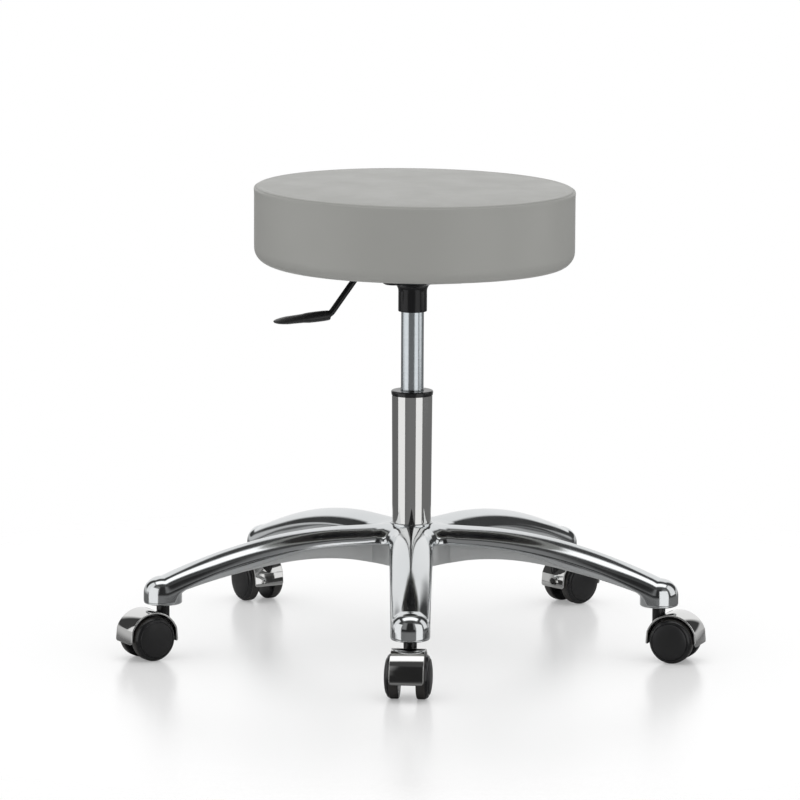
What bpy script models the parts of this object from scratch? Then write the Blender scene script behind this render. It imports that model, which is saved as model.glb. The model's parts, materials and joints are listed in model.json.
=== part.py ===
"""Swivel stool: a round padded seat on a gas spring, over a five-arm base with twin-wheel casters.

Metres, +Z up. The origin lies on the floor, under the middle of the stool's bounding box. The column
stands a little behind it, because the front caster trails forward. Every piece is modelled from the
column axis, and the frame empty carries the whole stool to its place.
"""

import math

import bmesh
import bpy
from mathutils import Vector

# Clearances and facets
TOUCH = 0.0003
FIT = 0.0003
MERGE = 0.00001
SMALL_SIDES = 12
TUBE_SIDES = 24
WHEEL_SIDES = 20
SEAT_SIDES = 32
OVERCUT = 0.004

# Casters: twin wheels under a chromed hood, trailing behind an upright stem
WHEEL_RADIUS = 0.0275
WHEEL_WIDTH = 0.0182
WHEEL_RIM = 0.0107
WHEEL_SPACE = 0.0105
WHEEL_CHAMFER = 0.0012
FACE_RADIUS = 0.019
FACE_STEP = 0.0016
GROOVE_RADIUS = 0.023
GROOVE_STEP = 0.0042
AXLE_RADIUS = 0.004
AXLE_BITE = 0.0125
TRAIL = 0.022
HOOD_GAP = 0.003
HOOD_WALL = 0.0025
HOOD_HALF = 0.0205
HOOD_REACH = 0.031
HOOD_SPLAY = 0.0015
HOOD_DROP = 0.005
HOOD_STEPS = 10
YOKE_HALF = 0.007
YOKE_FOOT = 0.013
YOKE_STEPS = 5
YOKE_CHIN = math.radians(18.0)
NECK_RADIUS = 0.0080
NECK_SHOW = 0.0067
NECK_DROP = 0.031
NECK_HOLE = 0.0006
STEM_RADIUS = 0.0055
STEM_SEAT = 0.0225
STEM_SOCKET = 0.0255
STEM_CHAMFER = 0.001

# Directions in plan, in degrees from +X: the arms, and the way each caster trails
ARM_ANGLES = {"front": -90.0, "right": -18.0, "back_right": 54.0, "back_left": 126.0, "left": 198.0}
CASTER_HEADINGS = {"front": 265.0, "right": 340.0, "back_right": 41.0, "back_left": 121.0, "left": 210.0}

# Star base
ARM_REACH = 0.318
ROOT_REACH = 0.030
ROOT_START = 0.016
ROOT_HALF = 0.028
TIP_HALF = 0.0234
TIP_RADIUS = 0.024
TIP_HEIGHT = 0.0331
TIP_DOME = 0.022
DOME_STEPS = 5
ARM_RISE = 0.0504
FALL_START = 0.085
WEB_RISE = 0.0466
ROOT_DROP = 0.0275
TIP_DEPTH = 0.022
CAP_DEPTH = 0.020
CAP_EDGE = 0.003
ARCH_HEIGHT = 0.019
ARCH_ANGLES = (22.0, 42.0, 60.0, 76.0, 90.0)
DEPTH_POWER = 4
WEB_HALF = 0.016
WEB_ENDS = (0.35, 0.75)
ARM_SECTIONS = 10
POCKET_HALF = 0.010
POCKET_ROOF = 0.008
POCKET_REACH = (0.055, 0.285)
POCKET_SECTIONS = 6
HUB_LIP = 0.0012
HUB_HEIGHT = 0.055
HUB_RADIUS = 0.033
HUB_SHOULDER = 0.014
COLLAR_WALL = 0.0026

# Column and gas spring
COLUMN_FOOT = 0.004
COLUMN_LENGTH = 0.2175
COLUMN_TOP_RADIUS = 0.025
COLUMN_LOW_RADIUS = 0.0235
COLUMN_WALL = 0.0016
COLUMN_FLOOR = 0.004
CAP_RADIUS = 0.0259
CAP_HEIGHT = 0.0052
CAP_ROUND = 0.0012
BUSH_LENGTH = 0.080
CYLINDER_RADIUS = 0.014
CYLINDER_WALL = 0.0015
CYLINDER_LENGTH = 0.251
CYLINDER_SHOWN = 0.098
CYLINDER_HEAD = 0.016
LIFT_UP = 0.045
SEAL_HEIGHT = 0.012
PISTON_HEIGHT = 0.015
ROD_RADIUS = 0.005
ROD_FOOT_RADIUS = 0.004
RACE_RADIUS = 0.015
RACE_HEIGHT = 0.002
CAGE_HEIGHT = 0.004
BUFFER_RADIUS = 0.012
BUFFER_HEIGHT = 0.010
WASHER_RADIUS = 0.010
WASHER_HEIGHT = 0.0022
CLIP_RADIUS = 0.007
CLIP_HEIGHT = 0.0018
CLIP_MOUTH = 0.0045
ROD_TAIL = 0.0015
VALVE_RADIUS = 0.0035
VALVE_SHOW = 0.0045
VALVE_LENGTH = 0.0140

# Seat holder, tray and lever
HOLDER_RADIUS = 0.0177
HOLDER_FLARE = 0.026
HOLDER_LENGTH = 0.0377
HOLDER_LIP = 0.003
HOLDER_CHAMFER = 0.0009
TRAY_SHEET = 0.0025
TRAY_DEPTH = 0.0208
TRAY_TURN = 14.0
TRAY_OFFSET = 0.0079
TRAY_HALF = (0.0515, 0.0427)
TRAY_CORNER = 0.012
TRAY_SPLAY = 0.007
TRAY_HOLE = 0.016
PLATE_HALF = (0.080, 0.072)
PLATE_CORNER = 0.020
CORNER_STEPS = 4
BOLT_INSET = 0.017
BOLT_RADIUS = 0.003
BOLT_LENGTH = 0.010
BOLT_HEAD_RADIUS = 0.005
BOLT_HEAD_HEIGHT = 0.004
LEVER_RADIUS = 0.004
LEVER_OVERHANG = 0.008
LEVER_FLAT = 0.0694
LEVER_DROP = 0.0481
LEVER_SLOPE = math.radians(54.0)
LEVER_TAIL = 0.024
LEVER_BEND = 0.014
BEND_STEPS = 5
PIVOT_REACH = 0.022
PIVOT_PIN_RADIUS = 0.0015
BRACKET_HALF = 0.006
BRACKET_SHEET = 0.003
BRACKET_ROOF = 0.003
BRACKET_EARS = 0.004
BRACKET_CLEAR = 0.0006
SLOT_CLEAR = 0.0015
SLOT_TOP = 0.016
PADDLE_SLOPE = math.radians(5.2)
PADDLE_SIDES = 12
# Paddle sections: distance along the paddle, half width, half thickness
PADDLE_SECTIONS = (
    (0.000, 0.0075, 0.0060),
    (0.010, 0.0095, 0.0064),
    (0.0265, 0.0118, 0.0062),
    (0.0346, 0.0120, 0.0052),
    (0.054, 0.0124, 0.0046),
    (0.065, 0.0100, 0.0030),
    (0.0697, 0.0055, 0.0014),
)

# Seat
SEAT_RADIUS = 0.197
SEAT_HEIGHT = 0.0954
SEAT_CROWN = 0.0035
CROWN_POINT = (0.55, 0.75)
SEAT_BULGE = 0.0008
SEAM_INSET = 0.0062
SEAM_DEPTH = 0.0007
SEAM_HALF = 0.0015
RIM_ROUND = 0.005
FOOT_ROUND = 0.0275
RIM_STEPS = 3
FOOT_STEPS = 4
COVER_SHEET = 0.0012
HEM_WIDTH = 0.020
BOARD_MARGIN = 0.030
BOARD_RADIUS = SEAT_RADIUS - BOARD_MARGIN
BOARD_HEIGHT = 0.012

# Heights, worked out from the floor up
AXLE_Z = WHEEL_RADIUS * math.cos(math.pi / WHEEL_SIDES)
HOOD_OUTER = WHEEL_RADIUS + HOOD_GAP + HOOD_WALL
NECK_TOP = AXLE_Z + HOOD_OUTER + NECK_SHOW
TIP_LOW = NECK_TOP + TOUCH
TIP_TOP = TIP_LOW + TIP_HEIGHT
ROOT_TOP = TIP_TOP + ARM_RISE
HUB_TOP = ROOT_TOP + HUB_LIP
HUB_LOW = HUB_TOP - HUB_HEIGHT
COLUMN_LOW = HUB_LOW - COLUMN_FOOT
COLUMN_TOP = COLUMN_LOW + COLUMN_LENGTH
CAP_TOP = COLUMN_TOP + TOUCH + CAP_HEIGHT
LOWER_RACE_Z = COLUMN_LOW + COLUMN_FLOOR + TOUCH
CAGE_Z = LOWER_RACE_Z + RACE_HEIGHT + TOUCH
UPPER_RACE_Z = CAGE_Z + CAGE_HEIGHT + TOUCH
SHOULDER_Z = UPPER_RACE_Z + RACE_HEIGHT + TOUCH
WASHER_Z = COLUMN_LOW - TOUCH - WASHER_HEIGHT
CLIP_Z = WASHER_Z - TOUCH - CLIP_HEIGHT
HOLDER_LOW = CAP_TOP + CYLINDER_SHOWN
HOLDER_TOP = HOLDER_LOW + HOLDER_LENGTH
CYLINDER_TOP = HOLDER_TOP - TOUCH
CYLINDER_LOW = CYLINDER_TOP - CYLINDER_LENGTH
PISTON_LOW = CYLINDER_LOW + SEAL_HEIGHT + LIFT_UP + OVERCUT
PISTON_TOP = PISTON_LOW + PISTON_HEIGHT
TRAY_LOW = HOLDER_TOP + TOUCH
TRAY_TOP = TRAY_LOW + TRAY_DEPTH
BOARD_LOW = TRAY_TOP + TOUCH
BOARD_TOP = BOARD_LOW + BOARD_HEIGHT
SEAT_LOW = BOARD_LOW - TOUCH - COVER_SHEET
SEAT_TOP = SEAT_LOW + SEAT_HEIGHT
VALVE_TOP = CYLINDER_TOP + VALVE_SHOW
LEVER_Z = VALVE_TOP + TOUCH + LEVER_RADIUS


# Scene and materials

def clear_scene():
    """Start from an empty scene."""
    for obj in list(bpy.data.objects):
        bpy.data.objects.remove(obj, do_unlink=True)


def new_collection(name):
    """Collection linked to the scene."""
    collection = bpy.data.collections.new(name)
    bpy.context.scene.collection.children.link(collection)
    return collection


def look(name, colour, roughness, metallic):
    """Principled material of one sub-part."""
    material = bpy.data.materials.new(name)
    material.use_nodes = True
    shader = material.node_tree.nodes["Principled BSDF"]
    shader.inputs["Base Color"].default_value = (*colour, 1.0)
    shader.inputs["Roughness"].default_value = roughness
    shader.inputs["Metallic"].default_value = metallic
    return material


FINISHES = {
    "vinyl": ((0.42, 0.42, 0.40), 0.45, 0.0),
    "foam": ((0.78, 0.72, 0.50), 0.95, 0.0),
    "plywood": ((0.050, 0.046, 0.042), 0.70, 0.0),
    "black_steel": ((0.012, 0.012, 0.013), 0.25, 0.0),
    "black_nylon": ((0.012, 0.012, 0.013), 0.30, 0.0),
    "black_plastic": ((0.020, 0.020, 0.020), 0.45, 0.0),
    "chrome": ((0.80, 0.80, 0.80), 0.06, 1.0),
    "polished_aluminium": ((0.78, 0.78, 0.77), 0.12, 1.0),
    "bare_steel": ((0.55, 0.56, 0.57), 0.22, 1.0),
    "zinc_steel": ((0.60, 0.60, 0.58), 0.35, 1.0),
    "rubber": ((0.03, 0.03, 0.03), 0.80, 0.0),
}


# Building blocks

def place(name, data, finish, parent):
    """Object with its own material, carried by a parent empty."""
    obj = bpy.data.objects.new(name, data)
    data.materials.clear()
    data.materials.append(look(name + "_finish", *FINISHES[finish]))
    obj.parent = parent
    PARTS.objects.link(obj)
    return obj


def tool(name, data, parent=None):
    """Shape that only cuts or joins another piece."""
    obj = bpy.data.objects.new(name, data)
    obj.parent = parent
    obj.hide_render = True
    obj.display_type = "WIRE"
    TOOLS.objects.link(obj)
    return obj


def axis_empty(name, location, parent=None, heading=0.0):
    """Empty on a joint axis, turned about Z by its heading in degrees."""
    empty = bpy.data.objects.new(name, None)
    empty.location = location
    empty.rotation_euler = (0.0, 0.0, math.radians(heading))
    empty.parent = parent
    PARTS.objects.link(empty)
    return empty


def profile_mesh(name, profile, ring=False):
    """Edge chain in the XZ plane, one point per (radius, height)."""
    mesh = bpy.data.meshes.new(name)
    points = [(radius, 0.0, height) for radius, height in profile]
    edges = [(i, i + 1) for i in range(len(points) - 1)]
    if ring:
        edges.append((len(points) - 1, 0))
    mesh.from_pydata(points, edges, [])
    return mesh


def turn(obj, sides):
    """Screw the object's profile a full turn about its Z axis."""
    screw = obj.modifiers.new("Turn", "SCREW")
    screw.steps = sides
    screw.render_steps = sides
    screw.use_merge_vertices = True
    screw.merge_threshold = MERGE
    screw.use_smooth_shade = True
    return obj


def turned(name, profile, finish, parent, sides=SMALL_SIDES, ring=False):
    """Turned piece: the profile runs down its outer side."""
    return turn(place(name, profile_mesh(name, profile, ring), finish, parent), sides)


def turned_tool(name, profile, sides, parent=None):
    """Turned cutter."""
    return turn(tool(name, profile_mesh(name, profile), parent), sides)


def ring_section(inner, outer, low, high):
    """Closed section of a plain ring."""
    return [(outer, high), (outer, low), (inner, low), (inner, high)]


def rod_section(radius, low, high):
    """Section of a plain solid rod, from the top of its axis to the bottom."""
    return [(0.0, high), (radius, high), (radius, low), (0.0, low)]


def bore(radius, sides):
    """Corner radius of a faceted bore whose flats clear a shaft of this radius."""
    return (radius + FIT) / math.cos(math.pi / sides)


def arc(centre, radius, start, end, steps):
    """Points on a circular arc, both ends included, angles in radians."""
    points = []
    for i in range(steps + 1):
        angle = start + (end - start) * i / steps
        points.append((centre[0] + radius * math.cos(angle), centre[1] + radius * math.sin(angle)))
    return points


def combine(obj, other, operation):
    """Exact Boolean with another object."""
    modifier = obj.modifiers.new(operation.title(), "BOOLEAN")
    modifier.operation = operation
    modifier.object = other


def baked(obj):
    """Mesh of an object with its modifiers or curve settings applied; the object is removed."""
    bpy.context.view_layer.update()
    graph = bpy.context.evaluated_depsgraph_get()
    mesh = bpy.data.meshes.new_from_object(obj.evaluated_get(graph))
    bm = bmesh.new()
    bm.from_mesh(mesh)
    bmesh.ops.remove_doubles(bm, verts=bm.verts, dist=MERGE)
    bm.to_mesh(mesh)
    bm.free()
    bpy.data.objects.remove(obj, do_unlink=True)
    return mesh


def lofted(name, rings, closed_ends=True):
    """Mesh skinned over rings of points, each ring closed on itself."""
    bm = bmesh.new()
    loops = [[bm.verts.new(point) for point in ring] for ring in rings]
    count = len(loops[0])
    for first, second in zip(loops, loops[1:]):
        for i in range(count):
            j = (i + 1) % count
            bm.faces.new((first[i], first[j], second[j], second[i]))
    if closed_ends:
        bm.faces.new(loops[0])
        bm.faces.new(loops[-1])
        bmesh.ops.recalc_face_normals(bm, faces=bm.faces)
    mesh = bpy.data.meshes.new(name)
    bm.to_mesh(mesh)
    bm.free()
    return mesh


def upright_plate(name, outline, half_thickness):
    """Mesh of a flat outline in the XZ plane, extruded along Y."""
    bm = bmesh.new()
    face = bm.faces.new([bm.verts.new((x, -half_thickness, z)) for x, z in outline])
    extruded = bmesh.ops.extrude_face_region(bm, geom=[face])["geom"]
    moved = [item for item in extruded if isinstance(item, bmesh.types.BMVert)]
    bmesh.ops.translate(bm, vec=(0.0, 2 * half_thickness, 0.0), verts=moved)
    bmesh.ops.recalc_face_normals(bm, faces=bm.faces)
    mesh = bpy.data.meshes.new(name)
    bm.to_mesh(mesh)
    bm.free()
    return mesh


def box_mesh(name, low, high):
    """Mesh of a box between two corners."""
    bm = bmesh.new()
    bmesh.ops.create_cube(bm, size=1.0)
    low, high = Vector(low), Vector(high)
    bmesh.ops.scale(bm, vec=high - low, verts=bm.verts)
    bmesh.ops.translate(bm, vec=(low + high) / 2, verts=bm.verts)
    mesh = bpy.data.meshes.new(name)
    bm.to_mesh(mesh)
    bm.free()
    return mesh


def bent_path(corners, radius):
    """Corner points in the XZ plane with each inner corner rounded to a bend."""
    path = [corners[0]]
    for before, corner, after in zip(corners, corners[1:], corners[2:]):
        inward = (Vector(before) - Vector(corner)).normalized()
        outward = (Vector(after) - Vector(corner)).normalized()
        half = inward.angle(outward) / 2
        centre = Vector(corner) + (inward + outward).normalized() * radius / math.sin(half)
        setback = radius / math.tan(half)
        start = Vector(corner) + inward * setback - centre
        turn_angle = math.pi - 2 * half
        side = math.copysign(1.0, inward.x * outward.y - inward.y * outward.x)
        first = math.atan2(start.y, start.x)
        path += arc(centre, radius, first, first - side * turn_angle, BEND_STEPS)
    path.append(corners[-1])
    return path


def bent_rod(name, path, radius):
    """Curve of a round rod along a path in the XZ plane."""
    curve = bpy.data.curves.new(name, "CURVE")
    curve.dimensions = "3D"
    curve.bevel_depth = radius
    curve.bevel_resolution = 2
    curve.use_fill_caps = True
    spline = curve.splines.new("POLY")
    spline.points.add(len(path) - 1)
    for point, (x, z) in zip(spline.points, path):
        point.co = (x, 0.0, z, 1.0)
    return curve


def lay_along_y(obj):
    """Turn a piece made about Z so that its axis lies along Y."""
    obj.rotation_euler.x = math.radians(-90.0)
    return obj


# Plan of the base

def plan_direction(degrees):
    """Unit vector in plan."""
    return Vector((math.cos(math.radians(degrees)), math.sin(math.radians(degrees))))


def plan_box():
    """Lowest and highest plan corners of the arm tips, hoods and wheels, from the column axis."""
    points = []
    for side, angle in ARM_ANGLES.items():
        stem = plan_direction(angle) * ARM_REACH
        heading = plan_direction(CASTER_HEADINGS[side])
        across = Vector((-heading.y, heading.x))
        points += [stem + Vector((TIP_RADIUS, TIP_RADIUS)), stem - Vector((TIP_RADIUS, TIP_RADIUS))]
        for reach, half in ((HOOD_REACH + HOOD_SPLAY, HOOD_HALF), (WHEEL_RADIUS, WHEEL_SPACE + WHEEL_RIM)):
            for along in (TRAIL - reach, TRAIL + reach):
                points += [stem + heading * along + across * half, stem + heading * along - across * half]
    low = Vector((min(p.x for p in points), min(p.y for p in points)))
    high = Vector((max(p.x for p in points), max(p.y for p in points)))
    return low, high


# Star base

def arm_share(reach):
    """How far along the arm a section lies: 0 at its root, 1 over the caster."""
    return (reach - ROOT_REACH) / (ARM_REACH - ROOT_REACH)


def arm_top(reach):
    """Height of the arm's ridge: level round the hub, then falling away to the tip."""
    fall = max(0.0, (reach - FALL_START) / (ARM_REACH - FALL_START))
    return ROOT_TOP - ARM_RISE * fall ** 2


def arm_low(reach):
    """Height of the arm's underside: low at the hub, highest at mid arm, then falling to the tip."""
    share = max(0.0, arm_share(reach))
    line = TIP_TOP - TIP_DEPTH + WEB_RISE * (1.0 - share ** 2)
    return line - ROOT_DROP * (1.0 - share) ** DEPTH_POWER


def arm_section(reach):
    """Ring of one arm section: an arched cap over a narrower web that fades out towards the tip."""
    share = max(0.0, arm_share(reach))
    top = arm_top(reach)
    depth = top - arm_low(reach)
    half = ROOT_HALF + (TIP_HALF - ROOT_HALF) * share
    fade = min(1.0, max(0.0, (share - WEB_ENDS[0]) / (WEB_ENDS[1] - WEB_ENDS[0])))
    fade = fade * fade * (3.0 - 2.0 * fade)
    edge = CAP_DEPTH + (depth - CAP_EDGE - CAP_DEPTH) * fade
    web = WEB_HALF + (half - CAP_EDGE - WEB_HALF) * fade
    flank = []
    for degrees in ARCH_ANGLES:
        angle = math.radians(degrees)
        flank.append((half * math.sin(angle), top - ARCH_HEIGHT * (1.0 - math.cos(angle))))
    flank += [
        (half, top - edge),
        (web, top - edge - CAP_EDGE / 2),
        (web, top - depth),
    ]
    right = [(reach, y, z) for y, z in flank]
    left = [(reach, -y, z) for y, z in reversed(flank)]
    return [(reach, 0.0, top)] + right + left


def evenly(start, end, count):
    """Values from start to end in equal steps."""
    return [start + (end - start) * i / (count - 1) for i in range(count)]


def arm_mesh():
    """One arm along +X with its caster socket, hollowed from below."""
    reaches = evenly(ROOT_START, ARM_REACH, ARM_SECTIONS)
    arm = tool("arm", lofted("arm", [arm_section(reach) for reach in reaches]))
    dome = [(0.0, TIP_TOP)]
    for x, z in arc((0.0, 0.0), 1.0, math.pi / 2, 0.0, DOME_STEPS)[1:]:
        dome.append((TIP_RADIUS * x, TIP_TOP - TIP_DOME * (1.0 - z)))
    dome += [
        (TIP_RADIUS, TIP_LOW + STEM_CHAMFER),
        (TIP_RADIUS - STEM_CHAMFER, TIP_LOW),
        (0.0, TIP_LOW),
    ]
    tip = turned_tool("arm_tip", dome, WHEEL_SIDES)
    tip.location.x = ARM_REACH
    socket_radius = bore(STEM_RADIUS, SMALL_SIDES)
    socket_section = rod_section(socket_radius, TIP_LOW - OVERCUT, TIP_LOW + STEM_SOCKET + TOUCH)
    socket = turned_tool("stem_socket", socket_section, SMALL_SIDES)
    socket.location.x = ARM_REACH
    pocket_rings = []
    for reach in evenly(*POCKET_REACH, POCKET_SECTIONS):
        roof = arm_top(reach) - POCKET_ROOF
        low = arm_low(reach) - OVERCUT
        ring = [(reach, POCKET_HALF, roof), (reach, -POCKET_HALF, roof)]
        ring += [(reach, -POCKET_HALF, low), (reach, POCKET_HALF, low)]
        pocket_rings.append(ring)
    pocket = tool("arm_pocket", lofted("arm_pocket", pocket_rings))
    combine(arm, pocket, "DIFFERENCE")
    combine(arm, tip, "UNION")
    combine(arm, socket, "DIFFERENCE")
    mesh = baked(arm)
    for used in (tip, socket, pocket):
        bpy.data.objects.remove(used, do_unlink=True)
    return mesh


def column_radius(height):
    """Outer radius of the tapered column at a height."""
    share = (height - COLUMN_LOW) / COLUMN_LENGTH
    return COLUMN_LOW_RADIUS + (COLUMN_TOP_RADIUS - COLUMN_LOW_RADIUS) * share


def star_base(parent):
    """Five-arm casting with a tapered bore for the column."""
    collar = column_radius(HUB_TOP) + COLLAR_WALL
    section = [
        (0.0, HUB_TOP),
        (collar, HUB_TOP),
        (collar, HUB_TOP - HUB_LIP),
        (HUB_RADIUS, HUB_TOP - HUB_SHOULDER),
        (HUB_RADIUS, HUB_LOW),
        (0.0, HUB_LOW),
    ]
    base = turned("star_base", section, "polished_aluminium", parent, TUBE_SIDES)
    mesh = arm_mesh()
    for side, angle in ARM_ANGLES.items():
        arm = tool("arm_" + side, mesh, parent)
        arm.rotation_euler.z = math.radians(angle)
        combine(base, arm, "UNION")
    high, low = HUB_TOP + OVERCUT, HUB_LOW - OVERCUT
    taper = [
        (0.0, high),
        (bore(column_radius(high), TUBE_SIDES), high),
        (bore(column_radius(low), TUBE_SIDES), low),
        (0.0, low),
    ]
    combine(base, turned_tool("column_bore", taper, TUBE_SIDES, parent), "DIFFERENCE")


# Casters

def hood_line(inset):
    """Line of the hood set in by an inset: flat skirt, round top, flat skirt, from one foot to the other."""
    radius = HOOD_OUTER - inset
    reach = HOOD_REACH - inset
    crease = math.acos(reach / radius)
    foot = reach + HOOD_SPLAY
    line = [(TRAIL + foot, AXLE_Z - HOOD_DROP)]
    line += arc((TRAIL, AXLE_Z), radius, crease, math.pi - crease, HOOD_STEPS)
    line.append((TRAIL - foot, AXLE_Z - HOOD_DROP))
    return line


def caster_body_mesh():
    """Yoke between the wheels, with the neck that turns on the stem."""
    outline = hood_line(HOOD_WALL + TOUCH)
    foot = (TRAIL, AXLE_Z - HOOD_DROP)
    outline += arc(foot, YOKE_FOOT, math.pi + YOKE_CHIN, 2 * math.pi - YOKE_CHIN, YOKE_STEPS)
    body = tool("yoke", upright_plate("yoke", outline, YOKE_HALF))
    neck = turned_tool("neck", rod_section(NECK_RADIUS, NECK_TOP - NECK_DROP, NECK_TOP), SMALL_SIDES)
    stem_fit = bore(STEM_RADIUS, SMALL_SIDES)
    stem_hole_section = rod_section(stem_fit, NECK_TOP - STEM_SEAT - TOUCH, NECK_TOP + OVERCUT)
    stem_hole = turned_tool("stem_hole", stem_hole_section, SMALL_SIDES)
    half = YOKE_HALF + OVERCUT
    axle_fit = bore(AXLE_RADIUS, SMALL_SIDES)
    axle_hole = turned_tool("axle_hole", rod_section(axle_fit, -half, half), SMALL_SIDES)
    axle_hole.location = (TRAIL, 0.0, AXLE_Z)
    lay_along_y(axle_hole)
    combine(body, neck, "UNION")
    combine(body, stem_hole, "DIFFERENCE")
    combine(body, axle_hole, "DIFFERENCE")
    mesh = baked(body)
    for used in (neck, stem_hole, axle_hole):
        bpy.data.objects.remove(used, do_unlink=True)
    return mesh


def caster_hood_mesh():
    """Chromed band over both wheels, with a hole for the neck."""
    outline = hood_line(0.0) + hood_line(HOOD_WALL)[::-1]
    hood = tool("hood", upright_plate("hood", outline, HOOD_HALF))
    hole_section = rod_section(NECK_RADIUS + NECK_HOLE, NECK_TOP - NECK_DROP - OVERCUT, NECK_TOP)
    hole = turned_tool("neck_hole", hole_section, SMALL_SIDES)
    combine(hood, hole, "DIFFERENCE")
    mesh = baked(hood)
    bpy.data.objects.remove(hole, do_unlink=True)
    return mesh


def wheel_section():
    """Wheel section about its axle: height 0 is the inner face, and the outer face is a low dome."""
    hole = bore(AXLE_RADIUS, SMALL_SIDES)
    return [
        (0.0, WHEEL_WIDTH),
        (FACE_RADIUS, WHEEL_WIDTH - FACE_STEP),
        (GROOVE_RADIUS, WHEEL_WIDTH - GROOVE_STEP),
        (WHEEL_RADIUS, WHEEL_RIM),
        (WHEEL_RADIUS, WHEEL_CHAMFER),
        (WHEEL_RADIUS - WHEEL_CHAMFER, 0.0),
        (hole, 0.0),
        (hole, AXLE_BITE + TOUCH),
        (0.0, AXLE_BITE + TOUCH),
    ]


def wheel(name, parent, outward):
    """One wheel, its flat facet on the floor, facing out along +Y or -Y."""
    obj = turned(name, wheel_section(), "black_nylon", parent, WHEEL_SIDES)
    obj.location = (TRAIL, outward * WHEEL_SPACE, AXLE_Z)
    half_facet = math.pi / WHEEL_SIDES
    obj.rotation_euler = (math.radians(-90.0 * outward), half_facet, 0.0)
    return obj


def caster(side, angle, frame, body_mesh, hood_mesh):
    """One caster and its stem at the end of an arm."""
    stem_place = plan_direction(angle) * ARM_REACH
    spot = (stem_place.x, stem_place.y, 0.0)
    axis = axis_empty("caster_axis_" + side, spot, frame, CASTER_HEADINGS[side])
    stem_top = TIP_LOW + STEM_SOCKET
    stem_low = NECK_TOP - STEM_SEAT
    stem_section = [
        (0.0, stem_top),
        (STEM_RADIUS - STEM_CHAMFER, stem_top),
        (STEM_RADIUS, stem_top - STEM_CHAMFER),
        (STEM_RADIUS, stem_low),
        (0.0, stem_low),
    ]
    turned("caster_stem_" + side, stem_section, "zinc_steel", axis)
    place("caster_body_" + side, body_mesh.copy(), "black_nylon", axis)
    place("caster_hood_" + side, hood_mesh.copy(), "chrome", axis)
    axle_half = WHEEL_SPACE + AXLE_BITE
    axle = turned("caster_axle_" + side, rod_section(AXLE_RADIUS, -axle_half, axle_half), "zinc_steel", axis)
    axle.location = (TRAIL, 0.0, AXLE_Z)
    lay_along_y(axle)
    wheel("wheel_a_" + side, axis, 1.0)
    wheel("wheel_b_" + side, axis, -1.0)


# Column and gas spring

def outer_column(parent):
    """Tapered tube with a floor that the thrust bearing stands on."""
    hole = bore(ROD_FOOT_RADIUS, SMALL_SIDES)
    floor = COLUMN_LOW + COLUMN_FLOOR
    section = [
        (column_radius(COLUMN_TOP), COLUMN_TOP),
        (column_radius(HUB_TOP), HUB_TOP),
        (column_radius(COLUMN_LOW), COLUMN_LOW),
        (hole, COLUMN_LOW),
        (hole, floor),
        (column_radius(floor) - COLUMN_WALL, floor),
        (column_radius(COLUMN_TOP) - COLUMN_WALL, COLUMN_TOP),
    ]
    turned("outer_column", section, "chrome", parent, TUBE_SIDES, ring=True)


def guide_bush(parent):
    """Plastic bush in the top of the column; its flange is the black cap ring."""
    inner = bore(CYLINDER_RADIUS, TUBE_SIDES)
    flange_low = COLUMN_TOP + TOUCH
    low = COLUMN_TOP - BUSH_LENGTH
    outer = column_radius(low) - COLUMN_WALL - FIT
    section = [
        (CAP_RADIUS - CAP_ROUND, CAP_TOP),
        (CAP_RADIUS, CAP_TOP - CAP_ROUND),
        (CAP_RADIUS, flange_low),
        (outer, flange_low),
        (outer, low),
        (inner, low),
        (inner, CAP_TOP),
    ]
    turned("guide_bush", section, "black_plastic", parent, TUBE_SIDES, ring=True)


def thrust_bearing(base, spindle):
    """Two races and a ball cage that the rod's shoulder turns on."""
    hole = bore(ROD_FOOT_RADIUS, SMALL_SIDES)
    lower = ring_section(hole, RACE_RADIUS, LOWER_RACE_Z, LOWER_RACE_Z + RACE_HEIGHT)
    turned("lower_race", lower, "bare_steel", base, ring=True)
    cage = ring_section(hole, RACE_RADIUS, CAGE_Z, CAGE_Z + CAGE_HEIGHT)
    turned("ball_cage", cage, "zinc_steel", base, ring=True)
    upper = ring_section(hole, RACE_RADIUS, UPPER_RACE_Z, UPPER_RACE_Z + RACE_HEIGHT)
    turned("upper_race", upper, "bare_steel", spindle, ring=True)


def spindle_parts(parent):
    """Rod, piston, buffer, washer and clip: what turns with the seat but doesn't rise."""
    rod = [
        (0.0, PISTON_TOP),
        (ROD_RADIUS, PISTON_TOP),
        (ROD_RADIUS, SHOULDER_Z),
        (ROD_FOOT_RADIUS, SHOULDER_Z),
        (ROD_FOOT_RADIUS, CLIP_Z - ROD_TAIL),
        (0.0, CLIP_Z - ROD_TAIL),
    ]
    turned("piston_rod", rod, "chrome", parent)
    piston_radius = CYLINDER_RADIUS - CYLINDER_WALL - FIT
    grip = bore(ROD_RADIUS, SMALL_SIDES)
    piston = ring_section(grip, piston_radius, PISTON_LOW, PISTON_TOP)
    turned("piston", piston, "black_plastic", parent, TUBE_SIDES, ring=True)
    buffer_low = SHOULDER_Z
    buffer_section = ring_section(grip, BUFFER_RADIUS, buffer_low, buffer_low + BUFFER_HEIGHT)
    turned("rubber_buffer", buffer_section, "rubber", parent, ring=True)
    foot = bore(ROD_FOOT_RADIUS, SMALL_SIDES)
    washer = ring_section(foot, WASHER_RADIUS, WASHER_Z, WASHER_Z + WASHER_HEIGHT)
    turned("clip_washer", washer, "zinc_steel", parent, ring=True)
    clip = turned("retaining_clip", ring_section(foot, CLIP_RADIUS, CLIP_Z, CLIP_Z + CLIP_HEIGHT),
                  "bare_steel", parent, ring=True)
    mouth_low = (0.0, -CLIP_MOUTH / 2, CLIP_Z - OVERCUT)
    mouth_high = (CLIP_RADIUS + OVERCUT, CLIP_MOUTH / 2, CLIP_Z + CLIP_HEIGHT + OVERCUT)
    combine(clip, tool("clip_mouth", box_mesh("clip_mouth", mouth_low, mouth_high), parent), "DIFFERENCE")


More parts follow.
